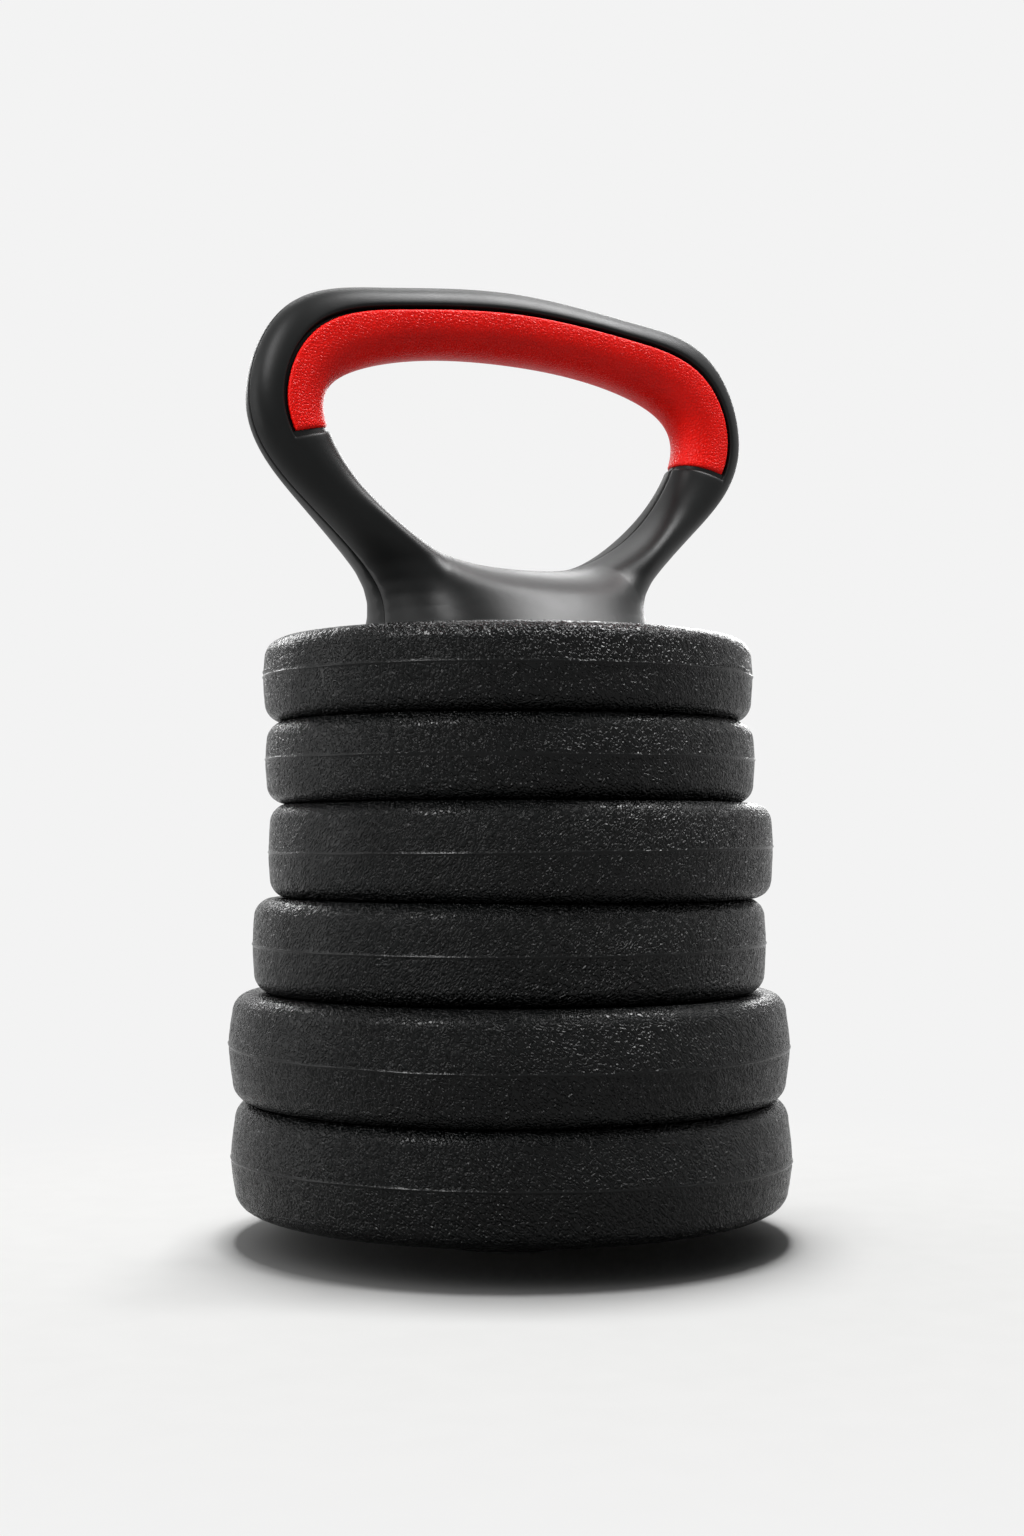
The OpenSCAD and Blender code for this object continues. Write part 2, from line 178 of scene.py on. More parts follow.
@dataclass(frozen=True)
class Finish:
    """A stuff and how its surface was made.

    Attributes:
        name: The material's name.
        colour: Its colour.
        patch_dust_and_hollow_shade: Colour of its random duller patches and of the relief's
        hollows. Where it is darker it is painted shading in the hollows; the foot rubber's
        lighter one is dust.
        roughness: Its mean roughness.
        spread: How far the roughness wanders from the mean.
        metallic: 1 for bare metal.
        relief: Layers of relief, coarsest first.
        patch: Size of the random patches of the second colour in millimetres.
        specular: Specular level of the principled shader.
        twist: Helical shear of the relief in turns per metre, for a slanted grain.
        stretch: How much longer the grain is along the slant.
        lined: Whether the relief fades out on the mesh's mould line.
    """

    name: str
    colour: str
    patch_dust_and_hollow_shade: str
    roughness: float
    spread: float = 0.05
    metallic: float = 0.0
    relief: tuple[Relief, ...] = ()
    patch: float = 20.0
    specular: float = 0.5
    twist: float = 0.0
    stretch: float = 1.0
    lined: bool = False

    def flow(self, tree: bpy.types.NodeTree, place: bpy.types.NodeSocket) -> bpy.types.NodeSocket:
        """Shears and stretches the position, so that the relief runs at a slant.

        Args:
            tree: The material's node tree.
            place: Position on the piece, in metres.

        Returns:
            The changed position.
        """
        if not self.twist and self.stretch == 1:
            return place
        waves_per_metre, sway_angle = 40.0, 0.012
        height = add(tree, "ShaderNodeSeparateXYZ", links={0: place}).outputs[2]
        sway = add(tree, "ShaderNodeTexNoise", {"Scale": waves_per_metre, "Detail": 1.0},
                   {"Vector": place})
        swing = add(tree, "ShaderNodeMapRange", {"To Min": -sway_angle, "To Max": sway_angle},
                    {"Value": sway.outputs[0]})
        lean = add(tree, "ShaderNodeMath", {1: self.twist * math.tau}, {0: height},
                   operation="MULTIPLY")
        angle = add(tree, "ShaderNodeMath", links={0: lean.outputs[0], 1: swing.outputs[0]},
                    operation="ADD")
        slanted = add(tree, "ShaderNodeVectorRotate", links={
            "Vector": place, "Angle": angle.outputs[0]}, rotation_type="Z_AXIS")
        return add(tree, "ShaderNodeMapping", {"Scale": (1, 1, 1 / self.stretch)},
                   {"Vector": slanted.outputs[0]}, vector_type="POINT").outputs[0]

    def make(self) -> bpy.types.Material:
        """Builds the material, once for each finish.

        Returns:
            The material, the same one at each call.
        """
        if self.name in bpy.data.materials:
            return bpy.data.materials[self.name]
        material = bpy.data.materials.new(self.name)
        material.use_nodes = True
        tree = material.node_tree
        tree.nodes.clear()
        place = add(tree, "ShaderNodeTexCoord").outputs["Object"]
        flowing = self.flow(tree, place)
        shade_from, shade_to, rough_from, rough_to, cover_gain = 0.35, 0.65, 0.3, 0.7, 0.75
        bump, low, calm = None, None, {}
        if self.lined:
            line = add(tree, "ShaderNodeAttribute", attribute_name=MOULD_LINE).outputs["Fac"]
            calm["Strength"] = add(tree, "ShaderNodeMath", {0: 1.0}, {1: line},
                                   operation="SUBTRACT", use_clamp=True).outputs[0]
        for layer in self.relief:
            height = layer.height(tree, flowing)
            links = {"Height": height} | calm | ({"Normal": bump} if bump else {})
            bump = add(tree, "ShaderNodeBump", {"Distance": layer.depth * MM}, links).outputs[0]
            low = low or height
        cloud = add(tree, "ShaderNodeTexNoise", {"Scale": 1 / (self.patch * MM), "Detail": 3.0},
                    {"Vector": place}).outputs[0]
        cover = add(tree, "ShaderNodeMapRange", {"From Min": shade_from, "From Max": shade_to},
                    {"Value": cloud}).outputs[0]
        # The first relief layer's low parts pull the colour towards the second colour. Where that
        # colour is darker, this is painted shading in the hollows; on the foot rubber it is lighter
        # dust.
        if low:
            raised = add(tree, "ShaderNodeMath", links={0: cover, 1: low}, operation="ADD")
            cover = add(tree, "ShaderNodeMath", {1: cover_gain}, {0: raised.outputs[0]},
                        operation="MULTIPLY", use_clamp=True).outputs[0]
        colour = add(tree, "ShaderNodeMix", {6: linear(self.patch_dust_and_hollow_shade), 7: linear(self.colour)},
                     {0: cover}, data_type="RGBA").outputs[2]
        rough = add(tree, "ShaderNodeMapRange", {
            "From Min": rough_from, "From Max": rough_to, "To Min": self.roughness - self.spread,
            "To Max": self.roughness + self.spread}, {"Value": cloud}).outputs[0]
        links = {"Base Color": colour, "Roughness": rough} | ({"Normal": bump} if bump else {})
        values = {"Metallic": self.metallic}
        if not self.metallic:
            values["Specular IOR Level"] = self.specular
        shader = add(tree, "ShaderNodeBsdfPrincipled", values, links)
        add(tree, "ShaderNodeOutputMaterial", links={"Surface": shader.outputs[0]})
        return material


# Grit that is finer than a third of a millimetre on the real surface is drawn coarser, so that it
# shows. Specular levels below 0.5 are matched to the object.

# In each finish below, the second colour fills random patches and the relief's low parts. Where it
# is darker, those low parts carry painted shading.
# Glass-filled nylon from a spark-eroded mould: dull, but it catches broad soft highlights.
HANDLE_NYLON = Finish("satin_moulded_nylon", "#0c0d0d", "#080909", 0.42, specular=0.14, relief=(
    Relief(Grain.ORANGE_PEEL, 2.4, 0.02), Relief(Grain.GRIT, 0.35, 0.015)), patch=30)
# Thermoplastic rubber over the bar, with a leather grain: deep red, a dull sheen on the cushions.
GRIP_RUBBER = Finish("leather_grain_soft_rubber", "#e01209", "#d00d06", 0.42, specular=0.12,
                     relief=(Relief(Grain.LEATHER, 1.1, 0.12),
                             Relief(Grain.ORANGE_PEEL, 0.6, 0.03)), patch=18)
# Blow-moulded polyethylene from a mould with a coarse wrinkle: black, and it glitters where light
# grazes the ridges. The wrinkles slant one way on some plates and the other way on the rest.
WRINKLED = (Relief(Grain.WORMS, 1.4, 0.44), Relief(Grain.ORANGE_PEEL, 0.4, 0.05))
# The nearly black second colour darkens the wrinkles' hollows as painted shading.
SKIN_RIGHT = Finish("wrinkled_plate_plastic_right", "#040505", "#010101", 0.21, specular=0.14,
                    relief=WRINKLED, twist=0.5, stretch=1.25, lined=True)
SKIN_LEFT = Finish("wrinkled_plate_plastic_left", "#040505", "#010101", 0.21, specular=0.14,
                   relief=WRINKLED, twist=-0.5, stretch=1.25, lined=True)
# Pressed-in polyethylene plug: smoother and a little greyer than the skin.
PLUG_PLASTIC = Finish("smooth_plug_plastic", "#202122", "#181819", 0.4, relief=(
    Relief(Grain.ORANGE_PEEL, 1.5, 0.02),))
# Cement cast inside the skin: chalky grey with sand in it.
CEMENT = Finish("cast_cement", "#a5a198", "#7f7b73", 0.9, relief=(
    Relief(Grain.GRIT, 1.2, 0.25),), patch=6)
# Rolled and nickel-plated steel, bright, with a faint drawn texture.
SPINDLE_STEEL = Finish("nickel_plated_steel", "#b9b6ae", "#918e87", 0.22, 0.06, 1.0, relief=(
    Relief(Grain.ORANGE_PEEL, 0.8, 0.01),), patch=9)
# Zinc plate on pressed steel: duller and bluer than the nickel.
ZINC_STEEL = Finish("zinc_plated_steel", "#a6abb0", "#83888e", 0.34, 0.08, 1.0, relief=(
    Relief(Grain.GRIT, 0.6, 0.015),), patch=7)
# Cut from sheet rubber: even, nearly black.
WASHER_RUBBER = Finish("sheet_rubber", "#202022", "#17171a", 0.7, relief=(
    Relief(Grain.GRIT, 0.5, 0.03),))
# Moulded polypropylene with a fine texture.
KNOB_PLASTIC = Finish("fine_texture_polypropylene", "#1b1c1d", "#131414", 0.45, relief=(
    Relief(Grain.GRIT, 0.4, 0.03),))
# Soft foot rubber, matt and dusty where it touches the floor.
FOOT_RUBBER = Finish("soft_foot_rubber", "#191919", "#242424", 0.8, relief=(
    Relief(Grain.GRIT, 0.5, 0.04),), patch=12)


# ---- Making and placing pieces ----


def surface(columns: int, rows: int, place: Callable[[int, int], Vector]) -> bmesh.types.BMesh:
    """Bends a flat grid over a surface and joins the edges that meet.

    Args:
        columns: Faces across the grid.
        rows: Faces along the grid.
        place: Gives the point of a column and a row, in millimetres.

    Returns:
        The bent grid.
    """
    bm = bmesh.new()
    bmesh.ops.create_grid(bm, x_segments=columns, y_segments=rows, size=0.5)
    for vert in bm.verts:
        vert.co = place(round((vert.co.x + 0.5) * columns), round((vert.co.y + 0.5) * rows)) * MM
    bmesh.ops.remove_doubles(bm, verts=bm.verts, dist=WELD * MM)
    bmesh.ops.recalc_face_normals(bm, faces=bm.faces)
    return bm


def turned(outline: Iterable[Point], steps: int, closed: bool = False) -> bmesh.types.BMesh:
    """Turns an outline round the Z axis.

    Args:
        outline: Radius and height of its points in millimetres.
        steps: Faces round the axis.
        closed: Whether the last point joins the first, as for a ring.

    Returns:
        The turned shape.
    """
    points = list(outline)
    points += points[:1] * closed

    def place(column: int, row: int) -> Vector:
        """Finds the outline's point at a step round the axis.

        Args:
            column: The point's number along the outline.
            row: The step round the axis.

        Returns:
            The point in millimetres.
        """
        reach, height = points[column]
        angle = math.tau * (row % steps) / steps
        return Vector((reach * math.cos(angle), reach * math.sin(angle), height))

    return surface(len(points) - 1, steps, place)


def moved(bm: bmesh.types.BMesh, change: Matrix) -> bmesh.types.BMesh:
    """Moves a mesh.

    Args:
        bm: The mesh, in metres.
        change: The move, with its shift in millimetres.

    Returns:
        The same mesh.
    """
    shifted = change.copy()
    shifted.translation *= MM
    bm.transform(shifted)
    return bm


def joined(first: bmesh.types.BMesh, others: Iterable[bmesh.types.BMesh]) -> bmesh.types.BMesh:
    """Adds meshes to a first one.

    Args:
        first: The mesh that grows.
        others: The meshes that are added. They are freed.

    Returns:
        The first mesh.
    """
    for bm in others:
        mesh = bpy.data.meshes.new("joined")
        bm.to_mesh(mesh)
        bm.free()
        first.from_mesh(mesh)
        bpy.data.meshes.remove(mesh)
    return first


def cut(body: bmesh.types.BMesh, tool: bmesh.types.BMesh) -> bmesh.types.BMesh:
    """Takes a closed mesh out of another one.

    Args:
        body: The closed mesh that is cut. It is freed.
        tool: The closed mesh that is taken out. It is freed.

    Returns:
        The cut mesh.
    """
    objects = []
    for name, bm in (("cut_body", body), ("cut_tool", tool)):
        mesh = bpy.data.meshes.new(name)
        bm.to_mesh(mesh)
        bm.free()
        objects.append(bpy.data.objects.new(name, mesh))
        bpy.context.scene.collection.objects.link(objects[-1])
    change = objects[0].modifiers.new("cut", "BOOLEAN")
    change.object, change.solver = objects[1], "MANIFOLD"
    solved = objects[0].evaluated_get(bpy.context.evaluated_depsgraph_get())
    result = bmesh.new()
    result.from_mesh(solved.to_mesh())
    for obj in objects:
        mesh = obj.data
        bpy.data.objects.remove(obj)
        bpy.data.meshes.remove(mesh)
    return result


@dataclass(frozen=True)
class Piece:
    """Where a dressed piece belongs.

    Attributes:
        name: Its name.
        body: The body that it rides on.
        slot: Name of a material slot. It is not used.
        finish: Its finish.
        replaces: CAD nodes that it stands for.
        crease: Angle in degrees past which an edge stays sharp.
    """

    name: str
    body: str
    slot: str
    finish: Finish
    replaces: tuple[str, ...] = ()
    crease: float = 40.0

    def finish_mesh(self, bm: bmesh.types.BMesh) -> bpy.types.Object:
        """Turns a mesh into a piece that rides on its body.

        Args:
            bm: The mesh, in the model's frame. It is freed.

        Returns:
            The new object.
        """
        mesh = bpy.data.meshes.new(self.name)
        bm.to_mesh(mesh)
        bm.free()
        mesh.shade_smooth()
        mesh.set_sharp_from_angle(angle=math.radians(self.crease))
        mesh.materials.append(self.finish.make())
        obj = bpy.data.objects.new(self.name, mesh)
        bpy.context.scene.collection.objects.link(obj)
        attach(obj, self.body)
        if self.replaces:
            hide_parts(*self.replaces)
        LOG.info("%s: %d faces on %s", self.name, len(mesh.polygons), self.body)
        return obj


def dress(node: str, finish: Finish) -> None:
    """Gives a CAD node that keeps its shape a finish of its own.

    Args:
        node: The node's name.
        finish: Its finish.
    """
    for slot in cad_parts[node].material_slots:
        slot.material = finish.make()
    LOG.info("%s: kept, in %s", node, finish.name)


# ---- Handle ----


class Half(Enum):
    """The handle's two shells."""

    FRONT = -1
    BACK = 1


@dataclass
class Handle:
    """The looped handle: two nylon shells, screwed together round the spindle's anchor, and a grip.

    Attributes:
        width: Greatest width of the loop.
        height: Height of the loop above the top plate.
        foot: Radius of the round foot.
        neck_low: Height up to which the section is all neck.
        neck_high: Height from which the section is all leg.
        neck_reach: Height over which the neck widens into the foot.
        neck_taper: Power of that widening.
        neck_plan: Power of the super-ellipse of the neck's plan.
        crest: Power of the rounding of the neck's saddle.
        bar_depth: Half the depth across the bar.
        swell: What is added to that half depth, from the bar's top to the foot.
        neck_depth: Half the depth across the neck.
        wall: Wall of the shells.
        bar_wall: Wall of the shells under the grip's recess.
        wall_run: Stations over which one wall turns into the other.
        seam_half: Half the width of the groove where the shells meet.
        seam_edge: Inset of that groove's rounded edge, with its distance from the mid plane.
        recess: Depth of the grip's recess.
        ledge: Depth of the step at the recess's ends.
        sink: How far the grip lies below the shells' surface.
        gap: Width of the open groove round the grip.
        lip: Rounding of the recess's and the grip's edges.
        foot_at: Station where the loop's outer edge reaches the foot.
        grip_end: Station where the grip ends.
        grip_side: Share of the section that the grip wraps.
        power: Power of the section's super-ellipse.
        screws: Station and share of the section of the right half's screws.
        screw_seat: How far behind the mid plane the screws' heads sit.
        screw_hole: Radius of the holes for the heads.
        screw_shank: Radius of the holes for the shanks.
        screw_wall: Wall of the screws' bosses.
        inner_shape: Control points of the loop's inner edge, from the bar's top to the middle of
            the neck, as shares of half the width and of the height.
        outer_shape: Those of its outer edge, from the bar's top down to the foot.
        base: Height of the foot above the floor.
        per_mm: Stations to one millimetre along the loop, at the grip's end.
        side_per_mm: Shares of the section to one millimetre round it.
    """

    width: float = 190.0
    height: float = 119.0
    foot: float = 47.0
    neck_low: float = 10.0
    neck_high: float = 50.0
    neck_reach: float = 24.0
    neck_taper: float = 1.25
    neck_plan: float = 2.5
    crest: float = 2.3
    bar_depth: float = 11.5
    swell: tuple[float, ...] = (0, 0, -1, -0.5, 10, 17, 17)
    neck_depth: float = 28.0
    wall: float = 3.6
    bar_wall: float = 2.6
    wall_run: float = 0.08
    seam_half: float = 0.8
    seam_edge: tuple[Point, ...] = ((0.9, 0.0), (0.4, 0.12), (0.15, 0.4))
    recess: float = 3.0
    ledge: float = 1.0
    sink: float = 0.3
    gap: float = 1.2
    lip: float = 0.9
    foot_at: float = 0.78
    grip_end: float = 0.43
    grip_side: float = 0.624
    power: float = 2.3
    screws: tuple[Point, ...] = ((0.14, 0.5), (0.5, 0.5), (0.82, 0.47))
    screw_seat: float = 4.5
    screw_hole: float = 3.9
    screw_shank: float = 2.2
    screw_wall: float = 1.8
    inner_shape: tuple[Point, ...] = (
        (0, 0.800), (0.395, 0.783), (0.744, 0.695), (0.744, 0.558), (0.588, 0.363),
        (0.400, 0.257), (0.230, 0.207), (0, 0.200))
    outer_shape: tuple[Point, ...] = (
        (0, 1.016), (0.529, 0.957), (0.902, 0.936), (1.079, 0.558), (0.749, 0.327),
        (0.478, 0.135))
    base: float = field(init=False)
    per_mm: float = field(init=False)
    side_per_mm: float = field(init=False)

    def __post_init__(self) -> None:
        """Works out the loop's edges in millimetres above the top plate."""
        self.base = cad_box("handle_front_shell")[0].z
        scale = Vector((self.width / 2, self.height))
        inner = [Vector(p) * scale for p in self.inner_shape]
        outer = [Vector(p) * scale for p in self.outer_shape] + [Vector((self.foot, 0))]
        flip = Vector((-1, 1))
        self._inner = [inner[1] * flip, *inner, inner[-2] * flip]
        self._outer = [outer[1] * flip, *outer, 2 * outer[-1] - outer[-2]]
        depths = [self.bar_depth + more for more in self.swell]
        self._depths = [depths[1], *depths, depths[-2]]
        steps, step = 24, 0.01
        self._sides = [tuple(self.outer(self.foot_at * (1 - i / steps)))
                       for i in range(steps // 2 + 1)]
        self.per_mm = step / (self.inner(self.grip_end) - self.inner(self.grip_end - step)).length
        self.side_per_mm = 1 / (3 * self.bar_depth)

    @staticmethod
    def along(points: list, share: float) -> Any:
        """Finds a point on a uniform cubic B-spline.

        Args:
            points: Its control points. The first and the last stand past its ends.
            share: How far along it the point lies, from 0 to 1.

        Returns:
            The point, of the control points' kind.
        """
        x = min(share, 0.999999) * (len(points) - 3)
        i = int(x)
        f = x - i
        a, b, c, d = points[i:i + 4]
        return (a * (1 - f) ** 3 + b * (3 * f ** 3 - 6 * f * f + 4)
                + c * (1 + 3 * f + 3 * f * f - 3 * f ** 3) + d * f ** 3) / 6

    def inner(self, u: float) -> Vector:
        """The loop's inner edge at station u."""
        return self.along(self._inner, u)

    def outer(self, u: float) -> Vector:
        """Finds the loop's outer edge, or the foot's flat past foot_at.

        Args:
            u: Station along the loop.

        Returns:
            Its X and its height above the top plate.
        """
        if u > self.foot_at:
            return Vector((self.foot * (1 - u) / (1 - self.foot_at), 0))
        return self.along(self._outer, u / self.foot_at)

    def skin(self, u: float, s: float, inset: float, least: float = 0.0) -> Vector:
        """A point of the section at station u.

        Args:
            u: Station from the top of the bar, 0, to the middle of the neck, 1.
            s: Share of the way from the loop's inner edge to its outer edge.
            inset: Depth below the surface.
            least: Smallest distance from the mid plane.

        Returns:
            The point of the right half, in front of or behind the mid plane by its y.
        """
        a, b = self.inner(u), self.outer(u)
        run = (b - a).normalized()
        q = -math.cos(math.pi * s)
        at = mix(a + run * inset, b - run * inset, (1 + q) / 2)
        p = self.power
        leg = (self.along(self._depths, u) - inset) * max(0.0, 1 - abs(q) ** p) ** (1 / p)
        share = 1 - ease((at.y - self.neck_low) / (self.neck_high - self.neck_low))
        neck = 0.0
        if share:
            wide, deep = self.side_at(at.y) - inset, self.neck_at(at.y) - inset
            off = min(1.0, abs(at.x) / wide)
            neck = deep * max(0.0, 1 - off ** self.neck_plan) ** (1 / self.neck_plan)
            neck *= max(0.0, 1 - max(0.0, -q) ** self.crest) ** (1 / self.crest)
        return Vector((at.x, max(mix(leg, neck, share), least), at.y))

    def side_at(self, z: float) -> float:
        """Finds half the neck's width.

        Args:
            z: Height above the top plate.

        Returns:
            Half the width there.
        """
        for (x0, z0), (x1, z1) in zip(self._sides, self._sides[1:]):
            if z <= z1:
                return mix(x0, x1, (z - z0) / (z1 - z0))
        return self._sides[-1][0]

    def neck_at(self, z: float) -> float:
        """Half the neck's depth at a height above the top plate."""
        left = max(0.0, 1 - max(0.0, z) / self.neck_reach)
        return mix(self.neck_depth, self.foot, left ** self.neck_taper)

    def edge(self, u: float, outer: bool, inset: float, y: float) -> Vector:
        """Finds a point near the mid plane.

        Args:
            u: Station along the loop.
            outer: Whether it is by the outer edge.
            inset: Its depth below that edge.
            y: Its distance from the mid plane.

        Returns:
            The point.
        """
        a, b = self.inner(u), self.outer(u)
        run = (b - a).normalized()
        at = b - run * inset if outer else a + run * inset
        return Vector((at.x, y, at.y))

    def rounded(self, reach: float) -> list[Point]:
        """Distance and drop of the points of a rounded lip."""
        return [(reach * (1 - math.cos(t)), reach * (1 - math.sin(t))) for t in QUARTER_TURN]

    def shell_stations(self) -> list[Point]:
        """Lists the stations of the right half.

        Returns:
            Each station with its drop into the grip's recess.
        """
        steps, rest, step_at = 56, 70, 0.9
        ledge = self.grip_end - self.gap * step_at * self.per_mm
        inside = [(ledge * i / steps, self.recess) for i in range(steps + 1)]
        inside += [(ledge, self.ledge)]
        lip = [(self.grip_end + d * self.per_mm, drop) for d, drop in self.rounded(self.lip)]
        start = lip[-1][0]
        return inside + lip + [(mix(start, 1.0, i / rest), 0.0) for i in range(1, rest + 1)]

    def shell_shares(self) -> list[Point]:
        """Lists the shares of the section.

        Returns:
            Each share with its drop into the grip's recess.
        """
        steps, rest = 20, 18
        inside = [(self.grip_side * i / steps, self.recess) for i in range(steps + 1)]
        lip = [(self.grip_side + d * self.side_per_mm, drop) for d, drop in self.rounded(self.lip)]
        start = lip[-1][0]
        return inside + lip + [(mix(start, 1.0, i / rest), 0.0) for i in range(1, rest + 1)]

    def shell_ring(self, u: float, drop: float) -> list[Vector]:
        """Lists one closed section of a shell: the outer surface, then the cavity.

        Args:
            u: Station of the section.
            drop: Depth of the grip's recess there.

        Returns:
            The section's points with y at or above 0.
        """
        flat, steps = u > self.foot_at, 6
        hollow = mix(self.recess + self.bar_wall, self.wall,
                     ease((u - self.grip_end) / self.wall_run))
        ring = [self.edge(u, False, drop + inset, y) for inset, y in self.seam_edge]
        ring += [self.skin(u, s, min(drop, deep), self.seam_half)
                 for s, deep in self.shell_shares()]
        ring += [self.edge(u, True, 0 if flat else inset, y) for inset, y in self.seam_edge[::-1]]
        ring += [self.edge(u, True, hollow, 0.0)]
        ring += [self.skin(u, s / steps, hollow) for s in range(steps, 0, -1)]
        return ring + [self.edge(u, False, hollow, 0.0)]

    def build_shell(self, half: Half) -> bmesh.types.BMesh:
        """Lofts one shell round the whole loop.

        Args:
            half: Which shell it is.

        Returns:
            The shell, hollow and closed.
        """
        rows = self.shell_stations()
        stations = [(u, drop, 1) for u, drop in rows]
        stations += [(u, drop, -1) for u, drop in rows[-2:0:-1]]
        rings = []
        for u, drop, side in stations:
            ring = self.shell_ring(u, drop)
            rings.append([Vector((side * p.x, half.value * p.y, self.base + p.z)) for p in ring])
        count, total = len(rings[0]), len(rings)
        return surface(count, total, lambda col, row: rings[row % total][col % count])

    def build_back(self) -> bmesh.types.BMesh:
        """Makes the back shell with its screw holes, and a boss under each of them.

        Returns:
            The shell and the bosses in one mesh.
        """
        holes, bosses = [], []
        low, r, outer = self.screw_seat, self.screw_hole, self.screw_hole + self.screw_wall
        soft, flare, clear, start, steps = 0.5, 0.3, 9, 1, 32
        mouth = r + soft + flare
        for u, s in self.screws:
            for side in (-1, 1):
                at, inside = self.skin(u, s, 0), self.skin(u, s, self.wall)
                upright = Matrix.Translation((side * at.x, 0, self.base + at.z)) @ Matrix.Rotation(
                    -math.pi / 2, 4, "X")
                high = inside.y + 1
                holes.append(moved(turned([
                    (0, low), (r, low), (r, at.y - soft), (mouth, at.y + flare),
                    (mouth, at.y + clear), (0, at.y + clear)], steps), upright))
                bosses.append(moved(turned([
                    (self.screw_shank, start), (self.screw_shank, low), (r, low), (r, high),
                    (outer, high), (outer, start)], steps, closed=True), upright))
        shell = cut(self.build_shell(Half.BACK), joined(holes[0], holes[1:]))
        return joined(shell, bosses)

    def build_grip(self) -> bmesh.types.BMesh:
        """Lofts the soft grip that wraps the inside of the bar.

        Returns:
            The grip, closed.
        """
        slack, long, wide, back = 0.3, 90, 40, 8
        under = self.recess - slack
        last = self.grip_end - self.gap * self.per_mm
        side = self.grip_side - self.gap * self.side_per_mm
        lip = [(d, drop + self.sink) for d, drop in self.rounded(self.lip)]
        far = lip[-1][0]
        rows = [((last - far * self.per_mm) * i / long, self.sink) for i in range(long + 1)]
        rows += [(last - d * self.per_mm, drop) for d, drop in lip[-2::-1]] + [(last, under)]
        cols = [((side - far * self.side_per_mm) * i / wide, self.sink) for i in range(wide + 1)]
        cols += [(side - d * self.side_per_mm, drop) for d, drop in lip[-2::-1]] + [(side, under)]
        across = [(s, drop, -1) for s, drop in cols[::-1]] + [(s, drop, 1) for s, drop in cols[1:]]
        across += [(side * k / back, under, 1) for k in range(back - 1, -1, -1)]
        across += [(side * k / back, under, -1) for k in range(1, back)]
        along = [(u, drop, -1) for u, drop in rows[::-1]] + [(u, drop, 1) for u, drop in rows[1:]]
        count = len(across)

        def place(col: int, row: int) -> Vector:
            """Finds the grip's point at a column and a row of the grid.

            Args:
                col: Column round the section.
                row: Row along the loop.

            Returns:
                The point in millimetres.
            """
            s, deep, face = across[col % count]
            u, drop, half = along[row]
            p = self.skin(u, s, max(deep, drop))
            return Vector((half * p.x, face * p.y, self.base + p.z))

        return surface(count, len(along) - 1, place)

    def build(self) -> None:
        """Makes both shells and the grip, and dresses the pieces inside."""
        for name, shell in (("handle_front_shell", self.build_shell(Half.FRONT)),
                            ("handle_back_shell", self.build_back())):
            Piece(f"{name}_skin", "handle", "handle_plastic", HANDLE_NYLON, (name,), 50
                  ).finish_mesh(shell)
        Piece("grip_sleeve", "handle", "grip_rubber", GRIP_RUBBER, ("grip_insert",), 50
              ).finish_mesh(self.build_grip())
        for node in ("handle_screws", "anchor_plate", "anchor_nut"):
            dress(node, ZINC_STEEL)


# ---- Plates ----


